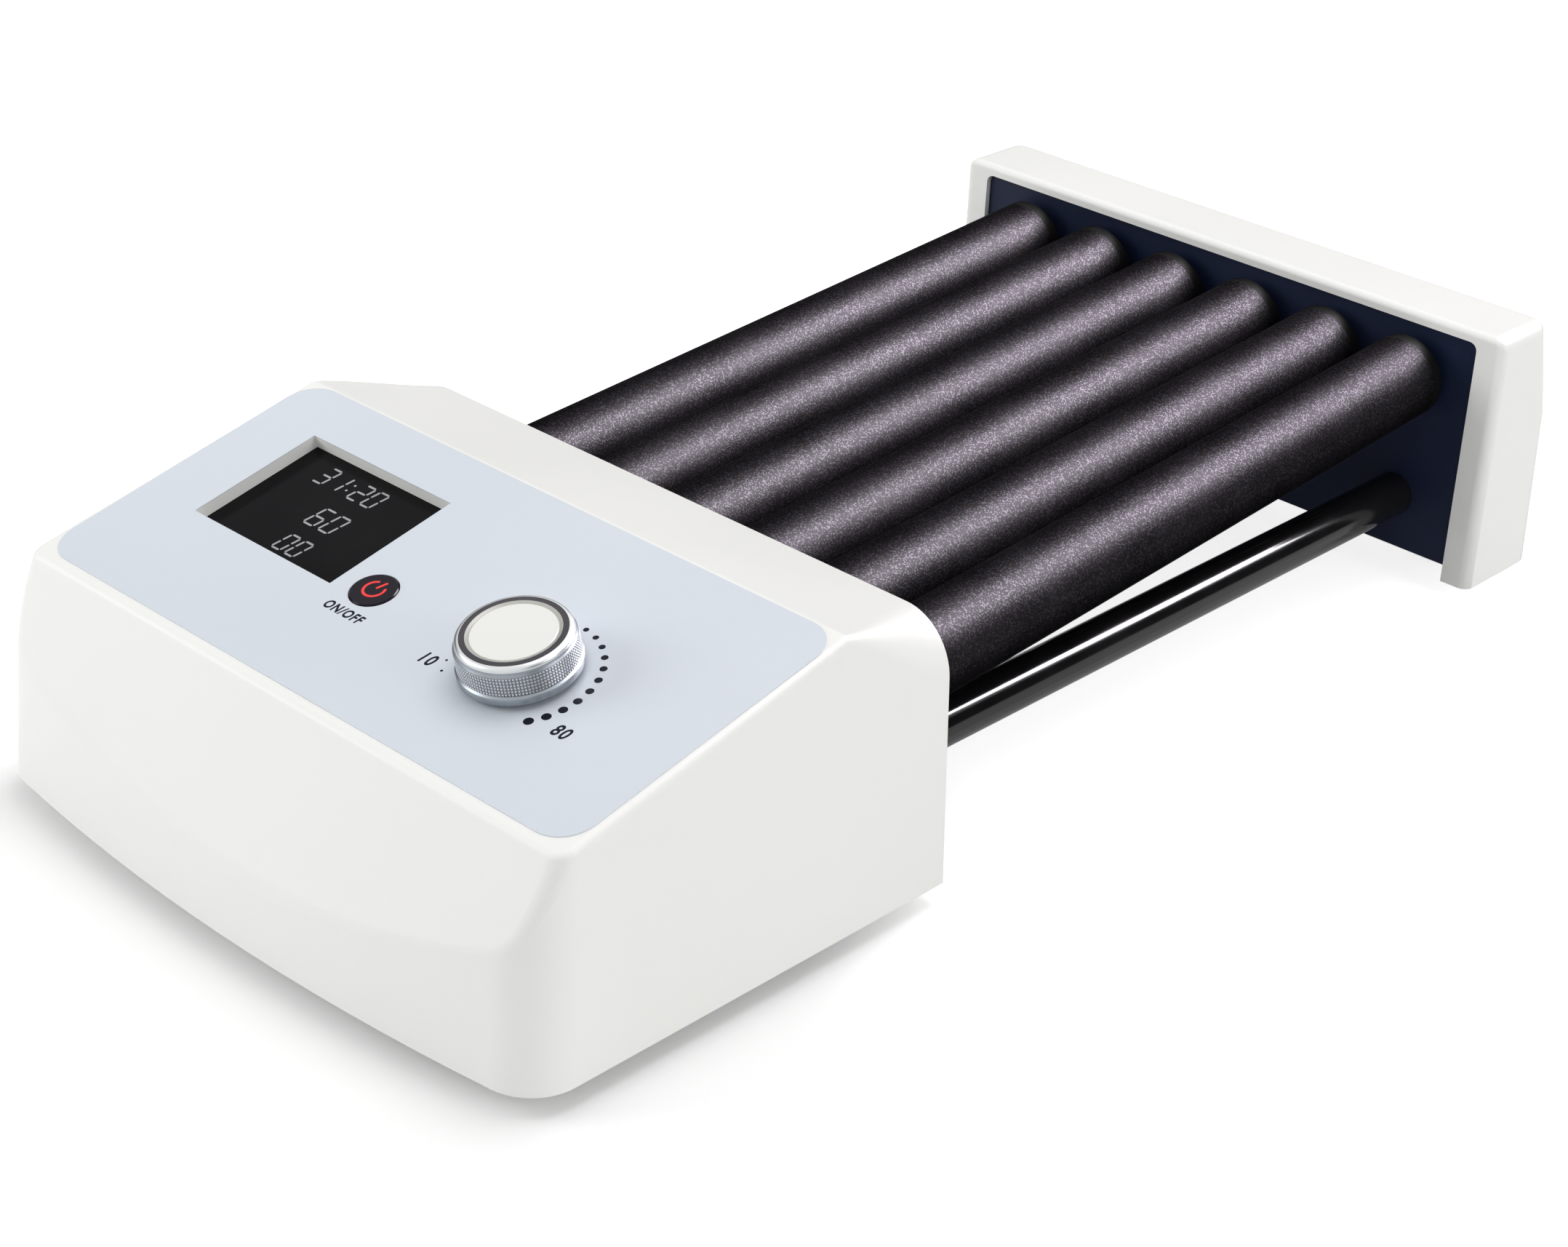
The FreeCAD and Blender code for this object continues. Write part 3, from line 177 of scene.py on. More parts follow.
def addFloor():
    bm = bmesh.new()
    bmesh.ops.create_grid(bm, x_segments=1, y_segments=1, size=studio["floorSize"])
    mesh = bpy.data.meshes.new("floor")
    bm.to_mesh(mesh)
    bm.free()
    floor = bpy.data.objects.new("floor", mesh)
    scene.collection.objects.link(floor)
    material = bpy.data.materials.new("whiteFloor")
    material.use_nodes = True
    nodes, links = material.node_tree.nodes, material.node_tree.links
    shader = nodes["Principled BSDF"]
    shader.inputs["Base Color"].default_value = (studio["floorColor"],) * 3 + (1,)
    shader.inputs["Roughness"].default_value = studio["floorRoughness"]
    shader.inputs["Specular IOR Level"].default_value = studio["floorGloss"]
    shader.inputs["Emission Color"].default_value = (1, 1, 1, 1)
    path = nodes.new("ShaderNodeLightPath")
    glossy = nodes.new("ShaderNodeMath")
    glossy.operation = "MULTIPLY"
    glossy.inputs[1].default_value = studio["glossyGlow"]
    seen = nodes.new("ShaderNodeMath")
    seen.operation = "MAXIMUM"
    place = nodes.new("ShaderNodeTexCoord")
    away = nodes.new("ShaderNodeVectorMath")
    away.operation = "DISTANCE"
    away.inputs[1].default_value = studio["glowPlace"]
    spread = nodes.new("ShaderNodeMapRange")
    spread.interpolation_type = "SMOOTHSTEP"
    spread.inputs["From Min"].default_value = studio["glowReach"][0]
    spread.inputs["From Max"].default_value = studio["glowReach"][1]
    spread.inputs["To Min"].default_value = studio["glowNear"]
    spread.inputs["To Max"].default_value = studio["glowFar"]
    glow = nodes.new("ShaderNodeMath")
    glow.operation = "MULTIPLY"
    links.new(path.outputs["Is Camera Ray"], seen.inputs[0])
    links.new(path.outputs["Is Glossy Ray"], glossy.inputs[0])
    links.new(glossy.outputs[0], seen.inputs[1])
    links.new(place.outputs["Object"], away.inputs[0])
    links.new(away.outputs["Value"], spread.inputs["Value"])
    links.new(seen.outputs[0], glow.inputs[0])
    links.new(spread.outputs["Result"], glow.inputs[1])
    links.new(glow.outputs[0], shader.inputs["Emission Strength"])
    clear = nodes.new("ShaderNodeBsdfTransparent")
    side = nodes.new("ShaderNodeNewGeometry")
    either = nodes.new("ShaderNodeMixShader")  # from below the floor is clear, so the underside shows
    links.new(side.outputs["Backfacing"], either.inputs["Fac"])
    links.new(shader.outputs["BSDF"], either.inputs[1])
    links.new(clear.outputs["BSDF"], either.inputs[2])
    links.new(either.outputs["Shader"], nodes["Material Output"].inputs["Surface"])
    mesh.materials.append(material)


addSky()
addFloor()
for lamp in studio["lamps"]:
    addLamp(*lamp)
streak = addLamp(*studio["streakLamp"])
streak.visible_diffuse = False  # it only draws the long soft lights on round black pieces
for card in studio["cards"]:
    addCard(*card)
scene.view_settings.view_transform = "Standard"
print("studio set")


# Node groups that several finishes share

def newGroup(name, inputs, outputs):
    group = bpy.data.node_groups.new(name, "ShaderNodeTree")
    for label, kind, value in inputs:
        socket = group.interface.new_socket(label, in_out="INPUT", socket_type=kind)
        if value is not None:
            socket.default_value = value
    for label, kind in outputs:
        group.interface.new_socket(label, in_out="OUTPUT", socket_type=kind)
    return group, group.nodes.new("NodeGroupInput"), group.nodes.new("NodeGroupOutput")


def grainGroup():
    # Fine moulding or coating texture as a height.
    inputs = (("Vector", "NodeSocketVector", None), ("Scale", "NodeSocketFloat", 1200.0),
              ("Depth", "NodeSocketFloat", 1.0))
    group, start, end = newGroup("surfaceGrain", inputs, (("Height", "NodeSocketFloat"),))
    noise = group.nodes.new("ShaderNodeTexNoise")
    noise.inputs["Detail"].default_value = 3.0
    depth = group.nodes.new("ShaderNodeMath")
    depth.operation = "MULTIPLY"
    group.links.new(start.outputs["Vector"], noise.inputs["Vector"])
    group.links.new(start.outputs["Scale"], noise.inputs["Scale"])
    group.links.new(noise.outputs["Fac"], depth.inputs[0])
    group.links.new(start.outputs["Depth"], depth.inputs[1])
    group.links.new(depth.outputs[0], end.inputs["Height"])
    return group


def driftGroup():
    # Slow change between two tones, and between two roughness values.
    inputs = (("Vector", "NodeSocketVector", None), ("Scale", "NodeSocketFloat", 14.0),
              ("Tone A", "NodeSocketColor", (1, 1, 1, 1)), ("Tone B", "NodeSocketColor", (1, 1, 1, 1)),
              ("Roughness A", "NodeSocketFloat", 0.4), ("Roughness B", "NodeSocketFloat", 0.5))
    outputs = (("Color", "NodeSocketColor"), ("Roughness", "NodeSocketFloat"))
    group, start, end = newGroup("toneDrift", inputs, outputs)
    noise = group.nodes.new("ShaderNodeTexNoise")
    noise.inputs["Detail"].default_value = 4.0
    spread = group.nodes.new("ShaderNodeMapRange")
    spread.inputs["From Min"].default_value = 0.3
    spread.inputs["From Max"].default_value = 0.7
    tones = group.nodes.new("ShaderNodeMix")
    tones.data_type = "RGBA"
    rough = group.nodes.new("ShaderNodeMix")
    rough.data_type = "FLOAT"
    group.links.new(start.outputs["Vector"], noise.inputs["Vector"])
    group.links.new(start.outputs["Scale"], noise.inputs["Scale"])
    group.links.new(noise.outputs["Fac"], spread.inputs["Value"])
    group.links.new(spread.outputs["Result"], tones.inputs["Factor"])
    group.links.new(start.outputs["Tone A"], tones.inputs["A"])
    group.links.new(start.outputs["Tone B"], tones.inputs["B"])
    group.links.new(spread.outputs["Result"], rough.inputs["Factor"])
    group.links.new(start.outputs["Roughness A"], rough.inputs["A"])
    group.links.new(start.outputs["Roughness B"], rough.inputs["B"])
    group.links.new(tones.outputs["Result"], end.inputs["Color"])
    group.links.new(rough.outputs["Result"], end.inputs["Roughness"])
    return group


def flakeGroup():
    # Small bright specks of a metallic coating, laid over a colour.
    inputs = (("Vector", "NodeSocketVector", None), ("Scale", "NodeSocketFloat", 2200.0),
              ("Share", "NodeSocketFloat", 0.12), ("Base", "NodeSocketColor", (0.01, 0.01, 0.01, 1)),
              ("Flake", "NodeSocketColor", (0.2, 0.2, 0.2, 1)))
    group, start, end = newGroup("coatingFlake", inputs, (("Color", "NodeSocketColor"),))
    cells = group.nodes.new("ShaderNodeTexVoronoi")
    chosen = group.nodes.new("ShaderNodeSeparateColor")
    speck = group.nodes.new("ShaderNodeMath")
    speck.operation = "LESS_THAN"
    tones = group.nodes.new("ShaderNodeMix")
    tones.data_type = "RGBA"
    group.links.new(start.outputs["Vector"], cells.inputs["Vector"])
    group.links.new(start.outputs["Scale"], cells.inputs["Scale"])
    group.links.new(cells.outputs["Color"], chosen.inputs["Color"])
    group.links.new(chosen.outputs["Red"], speck.inputs[0])
    group.links.new(start.outputs["Share"], speck.inputs[1])
    group.links.new(speck.outputs[0], tones.inputs["Factor"])
    group.links.new(start.outputs["Base"], tones.inputs["A"])
    group.links.new(start.outputs["Flake"], tones.inputs["B"])
    group.links.new(tones.outputs["Result"], end.inputs["Color"])
    return group


surfaceGrain = grainGroup()
toneDrift = driftGroup()
coatingFlake = flakeGroup()


# Finishes: one row for each material slot of the mixer, and for the button, knob, print and figures

finishes = {
    "shell": {
        "toneA": (0.860, 0.868, 0.838), "toneB": (0.880, 0.886, 0.862), "drift": 9.0,
        "rough": (0.40, 0.48), "grain": (1300.0, 0.10), "shader": {"Specular IOR Level": 0.45},
    },
    "cover": {
        "toneA": (0.74, 0.75, 0.73), "toneB": (0.78, 0.79, 0.77), "drift": 9.0,
        "rough": (0.50, 0.60), "grain": (1100.0, 0.15), "shader": {},
    },
    "label": {
        "toneA": (0.630, 0.680, 0.740), "toneB": (0.665, 0.712, 0.775), "drift": 7.0,
        "rough": (0.30, 0.36), "grain": (2600.0, 0.04), "shader": {"Specular IOR Level": 0.5},
    },
    "display": {
        "toneA": (0.003, 0.003, 0.004), "toneB": (0.006, 0.006, 0.007), "drift": 30.0,
        "rough": (0.10, 0.16), "grain": (900.0, 0.0), "shader": {"Specular IOR Level": 0.04},
    },
    "circuit": {
        "toneA": (0.015, 0.11, 0.04), "toneB": (0.02, 0.15, 0.06), "drift": 120.0,
        "rough": (0.30, 0.40), "grain": (800.0, 0.1), "shader": {},
    },
    "black_plastic": {
        "toneA": (0.012, 0.012, 0.013), "toneB": (0.020, 0.020, 0.021), "drift": 40.0,
        "rough": (0.28, 0.36), "grain": (1500.0, 0.05), "shader": {},
    },
    # The skirt and neck: the same metal as knobKnurl, toned much darker, a painted shade for the grey these faces
    # show.
    "knob_metal": {
        "toneA": (0.30, 0.33, 0.36), "toneB": (0.34, 0.37, 0.40), "drift": 60.0,
        "rough": (0.34, 0.38), "grain": (2400.0, 0.0), "shader": {"Metallic": 1.0},
    },
    "buttonFace": {
        "toneA": (0.010, 0.008, 0.014), "toneB": (0.014, 0.012, 0.018), "drift": 60.0,
        "rough": (0.18, 0.24), "grain": (2000.0, 0.0), "shader": {"Specular IOR Level": 0.10},
    },
    "knobKnurl": {
        "toneA": (0.84, 0.86, 0.88), "toneB": (0.88, 0.90, 0.92), "drift": 60.0,
        "rough": (0.34, 0.38), "grain": (2400.0, 0.0), "shader": {"Metallic": 1.0},
        # painted shade: the knurl's valleys are mixed towards this darker tone
        "grooveShade": (0.15, 0.16, 0.185),
    },
    "knobPolish": {
        "toneA": (0.66, 0.68, 0.68), "toneB": (0.70, 0.72, 0.72), "drift": 60.0,
        "rough": (0.28, 0.32), "grain": (2400.0, 0.0), "shader": {"Metallic": 1.0},
    },
    "knobDark": {
        "toneA": (0.034, 0.031, 0.038), "toneB": (0.046, 0.042, 0.050), "drift": 70.0,
        "rough": (0.22, 0.28), "grain": (2400.0, 0.0), "shader": {"Specular IOR Level": 0.35},
    },
    "knobTrim": {
        "toneA": (0.42, 0.42, 0.39), "toneB": (0.48, 0.48, 0.45), "drift": 70.0,
        "rough": (0.26, 0.32), "grain": (2000.0, 0.0), "shader": {"Metallic": 0.2},
    },
    "knob_white": {
        "toneA": (0.815, 0.825, 0.790), "toneB": (0.818, 0.828, 0.793), "drift": 50.0,
        "rough": (0.30, 0.31), "grain": (2000.0, 0.0), "shader": {},
    },
    "navy": {
        "toneA": (0.0075, 0.0125, 0.036), "toneB": (0.0105, 0.0165, 0.045), "drift": 22.0,
        "rough": (0.46, 0.56), "grain": (1500.0, 0.12), "shader": {"Specular IOR Level": 0.20},
    },
    "steel": {
        "toneA": (0.50, 0.51, 0.53), "toneB": (0.58, 0.59, 0.60), "drift": 90.0,
        "rough": (0.28, 0.38), "grain": (1800.0, 0.05), "shader": {"Metallic": 1.0},
    },
    "alloy": {
        "toneA": (0.62, 0.63, 0.65), "toneB": (0.70, 0.71, 0.72), "drift": 60.0,
        "rough": (0.34, 0.44), "grain": (1400.0, 0.08), "shader": {"Metallic": 1.0},
    },
    "bronze": {
        "toneA": (0.42, 0.27, 0.12), "toneB": (0.52, 0.35, 0.17), "drift": 150.0,
        "rough": (0.35, 0.48), "grain": (2500.0, 0.12), "shader": {"Metallic": 1.0},
    },
    "gear_plastic": {
        "toneA": (0.74, 0.72, 0.64), "toneB": (0.79, 0.77, 0.70), "drift": 80.0,
        "rough": (0.38, 0.46), "grain": (1500.0, 0.06), "shader": {"Subsurface Weight": 0.05},
    },
    "rod_black": {
        "toneA": (0.006, 0.006, 0.007), "toneB": (0.010, 0.010, 0.011), "drift": 60.0,
        "rough": (0.12, 0.18), "grain": (900.0, 0.02),
        "shader": {"Specular IOR Level": 0.30, "Coat Weight": 0.15},
    },
    "roller_black": {
        "toneA": (0.0160, 0.0150, 0.0165), "toneB": (0.0205, 0.0192, 0.0211), "drift": 35.0,
        "rough": (0.42, 0.47), "grain": (1500.0, 0.45), "flake": (2600.0, 0.22, (0.041, 0.038, 0.043)),
        "shader": {"Metallic": 1.0, "Specular Tint": (0.05, 0.05, 0.05, 1.0)},
    },
    "hub_black": {
        "toneA": (0.003, 0.003, 0.003), "toneB": (0.005, 0.005, 0.005), "drift": 40.0,
        "rough": (0.42, 0.52), "grain": (1500.0, 0.10), "shader": {"Specular IOR Level": 0.08},
    },
    "foot_rubber": {
        "toneA": (0.016, 0.016, 0.016), "toneB": (0.024, 0.024, 0.024), "drift": 60.0,
        "rough": (0.65, 0.78), "grain": (1200.0, 0.25), "shader": {"Specular IOR Level": 0.3},
    },
    "print": {
        "toneA": (0.006, 0.006, 0.014), "toneB": (0.009, 0.009, 0.019), "drift": 90.0,
        "rough": (0.38, 0.44), "grain": (2600.0, 0.0), "shader": {"Specular IOR Level": 0.10},
    },
    # The power mark is printed red; its Emission Strength is a painted glow that brightens the print.
    "powerMark": {
        "toneA": (0.62, 0.012, 0.012), "toneB": (0.70, 0.020, 0.018), "drift": 90.0,
        "rough": (0.30, 0.36), "grain": (2600.0, 0.0), "shader": {"Emission Strength": 0.35},
    },
    "digits": {
        "toneA": (0.24, 0.24, 0.26), "toneB": (0.30, 0.30, 0.32), "drift": 60.0,
        "rough": (0.30, 0.36), "grain": (2600.0, 0.0), "shader": {"Emission Strength": 0.22},
    },
}

grainRelief = 0.00012  # height of a full-depth grain, in metres


def newFinish(name):
    row = finishes[name]
    material = bpy.data.materials.new(name)
    material.use_nodes = True
    nodes, links = material.node_tree.nodes, material.node_tree.links
    shader = nodes["Principled BSDF"]
    for socket, value in row["shader"].items():
        shader.inputs[socket].default_value = value
    # Rows with Emission Strength glow in their own tone: the display's figures are lit, the power mark's glow is
    # painted.
    if "Emission Strength" in row["shader"]:
        shader.inputs["Emission Color"].default_value = (*row["toneB"], 1)
    place = nodes.new("ShaderNodeTexCoord")
    drift = nodes.new("ShaderNodeGroup")
    drift.node_tree = toneDrift
    drift.inputs["Scale"].default_value = row["drift"]
    drift.inputs["Tone A"].default_value = (*row["toneA"], 1)
    drift.inputs["Tone B"].default_value = (*row["toneB"], 1)
    drift.inputs["Roughness A"].default_value = row["rough"][0]
    drift.inputs["Roughness B"].default_value = row["rough"][1]
    links.new(place.outputs["Object"], drift.inputs["Vector"])
    color = drift.outputs["Color"]
    if "flake" in row:
        scale, share, bright = row["flake"]
        flake = nodes.new("ShaderNodeGroup")
        flake.node_tree = coatingFlake
        flake.inputs["Scale"].default_value = scale
        flake.inputs["Share"].default_value = share
        flake.inputs["Flake"].default_value = (*bright, 1)
        links.new(place.outputs["Object"], flake.inputs["Vector"])
        links.new(color, flake.inputs["Base"])
        color = flake.outputs["Color"]
    # Painted shade: the grooveShade attribute darkens the knurl's valleys towards the row's darker tone.
    if "grooveShade" in row:
        depth = nodes.new("ShaderNodeAttribute")
        depth.attribute_name = "grooveShade"
        grooveShadeMix = nodes.new("ShaderNodeMix")
        grooveShadeMix.data_type = "RGBA"
        grooveShadeMix.inputs["B"].default_value = (*row["grooveShade"], 1)
        links.new(depth.outputs["Fac"], grooveShadeMix.inputs["Factor"])
        links.new(color, grooveShadeMix.inputs["A"])
        color = grooveShadeMix.outputs["Result"]
    links.new(color, shader.inputs["Base Color"])
    links.new(drift.outputs["Roughness"], shader.inputs["Roughness"])
    scale, depth = row["grain"]
    if depth:
        grain = nodes.new("ShaderNodeGroup")
        grain.node_tree = surfaceGrain
        grain.inputs["Scale"].default_value = scale
        grain.inputs["Depth"].default_value = depth
        bump = nodes.new("ShaderNodeBump")
        bump.inputs["Distance"].default_value = grainRelief
        links.new(place.outputs["Object"], grain.inputs["Vector"])
        links.new(grain.outputs["Height"], bump.inputs["Height"])
        links.new(bump.outputs["Normal"], shader.inputs["Normal"])
    return material


finish = {name: newFinish(name) for name in finishes}
for node, piece in frame["nodes"].items():
    for place in piece.material_slots:
        place.material = finish[slotOf[node]]
frame["nodes"]["power_button"].material_slots[0].material = finish["buttonFace"]
print("finishes made:", len(finish))


# The panel's own frame: X across, Y up the slope, Z out of the panel, origin under the knob

knobJoint = jointOf["knob_turn"]
panelOut = Vector(knobJoint["axis"]).normalized()
panelUp = panelOut.cross(Vector((1, 0, 0)))
panelFrame = Matrix.Translation(Vector(knobJoint["pos_m"])) @ Matrix(
    (Vector((1, 0, 0)), panelUp, panelOut)).transposed().to_4x4()
labelFace = 0.3  # the label's thickness, in millimetres


def panelPlace(across, up, lift):
    return panelFrame @ Matrix.Translation(Vector((across, up, lift)) * mm)


def nodeOnPanel(node):
    # A node's middle in the panel's frame, in millimetres.
    low, high = (Vector(corner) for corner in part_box(node))
    return (panelFrame.inverted() @ ((low + high) / 2)) / mm


def addPiece(bm, name, material, body, place=None):
    # A finished piece from a bmesh that was shaped at its own origin.
    if place is not None:
        bmesh.ops.transform(bm, matrix=place, verts=bm.verts)
    bmesh.ops.recalc_face_normals(bm, faces=bm.faces)
    mesh = bpy.data.meshes.new(name)
    bm.to_mesh(mesh)
    bm.free()
    piece = bpy.data.objects.new(name, mesh)
    scene.collection.objects.link(piece)
    mesh.materials.append(finish[material])
    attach(piece, body)
    return piece


def drawOut(bm, faces, move):
    grown = bmesh.ops.extrude_face_region(bm, geom=faces)
    moved = [item for item in grown["geom"] if isinstance(item, bmesh.types.BMVert)]
    bmesh.ops.translate(bm, vec=move, verts=moved)


def addDot(bm, place, radius, segments, height):
    made = bmesh.ops.create_circle(bm, cap_ends=True, segments=segments, radius=radius,
                                   matrix=Matrix.Translation(place))
    faces = list({face for vert in made["verts"] for face in vert.link_faces})
    drawOut(bm, faces, (0, 0, height))


# Dial marks: dots that grow clockwise round the knob, and the two end numbers

dial = {
    "radius": 23.1,
    "firstAngle": 85.5,  # from the panel's X, towards up the slope
    "lastAngle": -38.5,
    "dots": 11,
    "smallDot": 0.90,
    "largeDot": 1.55,
    "lowDots": ((-21.1, -9.5, 0.42), (-18.7, -13.5, 0.46)),  # the two small ones beside the 10
    "dotSegments": 24,
    "ink": 0.02,
}


def addDialDots():
    bm = bmesh.new()
    dots = []
    for dot in range(dial["dots"]):
        share = dot / (dial["dots"] - 1)
        angle = math.radians(dial["firstAngle"] + share * (dial["lastAngle"] - dial["firstAngle"]))
        radius = dial["smallDot"] + share * (dial["largeDot"] - dial["smallDot"])
        dots.append((dial["radius"] * math.cos(angle), dial["radius"] * math.sin(angle), radius))
    for across, up, radius in dots + list(dial["lowDots"]):
        addDot(bm, (across * mm, up * mm, 0), radius * mm, dial["dotSegments"], dial["ink"] * mm)
    addPiece(bm, "dialDots", "print", "main", panelPlace(0, 0, labelFace))


lettering = {
    "words": (  # name, words, across, up, height
        ("dialLow", "10", -26.2, -12.4, 4.8),
        ("dialHigh", "80", 28.9, -12.5, 4.8),
        ("switchWords", "ON/OFF", -63.4, -12.0, 3.6),
    ),
    "sizeOfHeight": 1.35,  # the font's size for a capital of height 1
    "shear": 0.12,
    "boldness": 0.17,
    "spacing": 1.18,
    "narrow": 0.80,
    "smoothness": 6,
}


def addWords(name, words, across, up, height):
    curve = bpy.data.curves.new(name, "FONT")
    curve.body = words
    curve.size = height * mm * lettering["sizeOfHeight"]
    curve.align_x = "CENTER"
    curve.align_y = "CENTER"
    curve.shear = lettering["shear"]
    curve.space_character = lettering["spacing"]
    curve.resolution_u = lettering["smoothness"]
    curve.extrude = dial["ink"] * mm / 2
    curve.offset = lettering["boldness"] * mm
    source = bpy.data.objects.new(name + "Curve", curve)
    mesh = bpy.data.meshes.new_from_object(source)
    bpy.data.objects.remove(source)
    bm = bmesh.new()
    bm.from_mesh(mesh)
    bpy.data.meshes.remove(mesh)
    bmesh.ops.remove_doubles(bm, verts=bm.verts, dist=1e-7)
    bmesh.ops.scale(bm, vec=(lettering["narrow"], 1, 1), verts=bm.verts)
    addPiece(bm, name, "print", "main", panelPlace(across, up, labelFace + dial["ink"] / 2))


addDialDots()
for row in lettering["words"]:
    addWords(*row)
print("dial printed")


# Power mark: an open ring and a bar on the button's face, printed red with a painted glow

powerMark = {
    "ring": 3.4,
    "stroke": 0.86,
    "gap": 38.0,
    "bar": 3.8,
    "turn": -18.0,
    "face": 0.7,  # the button's top above the panel
    "height": 0.03,
    "steps": 40,
}


def addPowerMark():
    button = jointOf["button_press"]
    middle = nodeOnPanel("power_button")
    bm = bmesh.new()
    stroke, ring = powerMark["stroke"] * mm, powerMark["ring"] * mm
    start = math.radians(90 + powerMark["gap"])
    inner = bm.verts.new((ring - stroke / 2, 0, 0))
    outer = bm.verts.new((ring + stroke / 2, 0, 0))
    line = bm.edges.new((inner, outer))
    bmesh.ops.rotate(bm, verts=[inner, outer], cent=(0, 0, 0), matrix=Matrix.Rotation(start, 3, "Z"))
    bmesh.ops.spin(bm, geom=[inner, outer, line], cent=(0, 0, 0), axis=(0, 0, 1),
                   angle=math.radians(360 - 2 * powerMark["gap"]), steps=powerMark["steps"])
    bar = bmesh.ops.create_grid(bm, x_segments=1, y_segments=1, size=0.5)
    bmesh.ops.scale(bm, vec=(stroke, powerMark["bar"] * mm, 1), verts=bar["verts"])
    bmesh.ops.translate(bm, vec=(0, ring - powerMark["bar"] * mm / 4, 0), verts=bar["verts"])
    drawOut(bm, list(bm.faces), (0, 0, powerMark["height"] * mm))
    turn = Matrix.Rotation(math.radians(powerMark["turn"]), 4, "Z")
    addPiece(bm, "powerMark", "powerMark", button["child"],
             panelPlace(middle.x, middle.y, powerMark["face"]) @ turn)


addPowerMark()
print("power mark printed")


# Display: seven-segment figures on the glass's face

display = {
    "rows": (("31:20", -63.7, 29.6, 7.9), ("60", -56.4, 45.2, 8.6), ("00", -55.6, 59.5, 7.6)),
    "knobAcross": 51.4,  # the rows' places count across from the head's middle and down from its ridge
    "knobDown": 63.2,
    "face": 0.5,  # the glass's face above its middle
    "slant": 0.16,
    "stroke": 0.74,
    "gap": 0.30,
    "ratio": 0.52,
    "spacing": 0.80,
    "colonSpacing": 0.45,
    "colonDot": 0.45,
    "colonLevels": (0.2, -0.2),
    "dotSegments": 12,
    "height": 0.03,
}

segmentsOf = {"0": "abcdef", "1": "bc", "2": "abged", "3": "abgcd", "6": "afgedc"}


def addSegment(bm, start, end, stroke):
    # A bar with pointed ends from start to end.
    along = (end - start).normalized()
    side = Vector((-along.y, along.x, 0))
    half = stroke / 2
    tip = stroke * display["gap"]
    points = [start + along * tip, start + along * (half + tip) + side * half,
              end - along * (half + tip) + side * half, end - along * tip,
              end - along * (half + tip) - side * half, start + along * (half + tip) - side * half]
    drawOut(bm, [bm.faces.new([bm.verts.new(point) for point in points])], (0, 0, display["height"] * mm))


def addDigit(bm, figure, across, up, height):
    width = height * display["ratio"]
    stroke = display["stroke"] * mm
    corner = {}
    for row, level in (("t", 0.5), ("m", 0.0), ("b", -0.5)):
        for column, side in (("l", -0.5), ("r", 0.5)):
            lean = display["slant"] * level * height
            corner[row + column] = Vector((across + side * width + lean, up + level * height, 0))
    ends = {"a": ("tl", "tr"), "b": ("tr", "mr"), "c": ("mr", "br"), "d": ("bl", "br"),
            "e": ("ml", "bl"), "f": ("tl", "ml"), "g": ("ml", "mr")}
    for segment in segmentsOf[figure]:
        start, end = ends[segment]
        addSegment(bm, corner[start], corner[end], stroke)


def spacingOf(letter):
    return display["colonSpacing"] if letter == ":" else display["spacing"]


def addDisplayFigures():
    face = nodeOnPanel("lcd_window").z + display["face"]
    bm = bmesh.new()
    for words, across, down, height in display["rows"]:
        size = height * mm
        width = sum(spacingOf(letter) for letter in words) * size
        cursor = (across - display["knobAcross"]) * mm - width / 2
        up = (display["knobDown"] - down) * mm
        for letter in words:
            step = spacingOf(letter) * size
            middle = cursor + step / 2
            if letter == ":":
                for level in display["colonLevels"]:
                    place = (middle + display["slant"] * level * size, up + level * size, 0)
                    addDot(bm, place, display["colonDot"] * mm, display["dotSegments"],
                           display["height"] * mm)
            else:
                addDigit(bm, letter, middle, up, size)
            cursor += step
    addPiece(bm, "displayFigures", "digits", "main", panelPlace(0, 0, face))


addDisplayFigures()
print("display lit")


# Knob: turned skirt and neck, knurled band, polished edge, dark ring, trim ring and white face

knob = {  # profiles are radii and heights above the panel
    "steps": 116,
    "skirt": ((15.85, 1.9), (17.9, 1.9), (18.2, 2.2), (18.25, 2.5), (18.25, 4.2), (18.1, 4.55), (17.2, 4.7),
              (17.2, 4.9)),
    "grip": 17.5,
    "gripFoot": 4.9,
    "gripTop": 11.2,
    "gripRows": 6,
    "knurl": 0.30,
    "neck": ((17.5, 11.2), (17.5, 11.3), (17.0, 11.5), (17.0, 12.5)),
    "edge": ((17.0, 12.5), (15.5, 13.95)),
    "edgeSteps": 8,
    "darkRing": ((15.5, 13.95), (13.75, 14.0)),
    "trim": ((13.75, 14.0), (13.45, 13.95), (12.9, 13.55), (12.6, 13.55)),
    "face": ((12.6, 13.55), (12.2, 13.8)),
    "faceSteps": 4,
    "faceMiddle": (0, 13.85),
}


def turned(profile):
    # A surface of the profile's radii and heights, turned about the knob's axis.
    bm = bmesh.new()
    verts = [bm.verts.new((radius * mm, 0, height * mm)) for radius, height in profile]
    edges = [bm.edges.new(pair) for pair in zip(verts, verts[1:])]
    bmesh.ops.spin(bm, geom=verts + edges, cent=(0, 0, 0), axis=(0, 0, 1), angle=2 * math.pi,
                   steps=knob["steps"], use_merge=True)
    bmesh.ops.remove_doubles(bm, verts=bm.verts, dist=1e-6)
    bmesh.ops.recalc_face_normals(bm, faces=bm.faces)
    for face in bm.faces:
        face.smooth = True
    return bm


def rounding(start, end, steps):
    # A quarter round in the profile, from the outside at the start to the top at the end.
    points = []
    for step in range(steps + 1):
        angle = math.pi / 2 * step / steps
        points.append((end[0] + (start[0] - end[0]) * math.cos(angle),
                       start[1] + (end[1] - start[1]) * math.sin(angle)))
    return points


def onKnob(bm, name, material):
    return addPiece(bm, name, material, "knob", panelPlace(0, 0, 0))


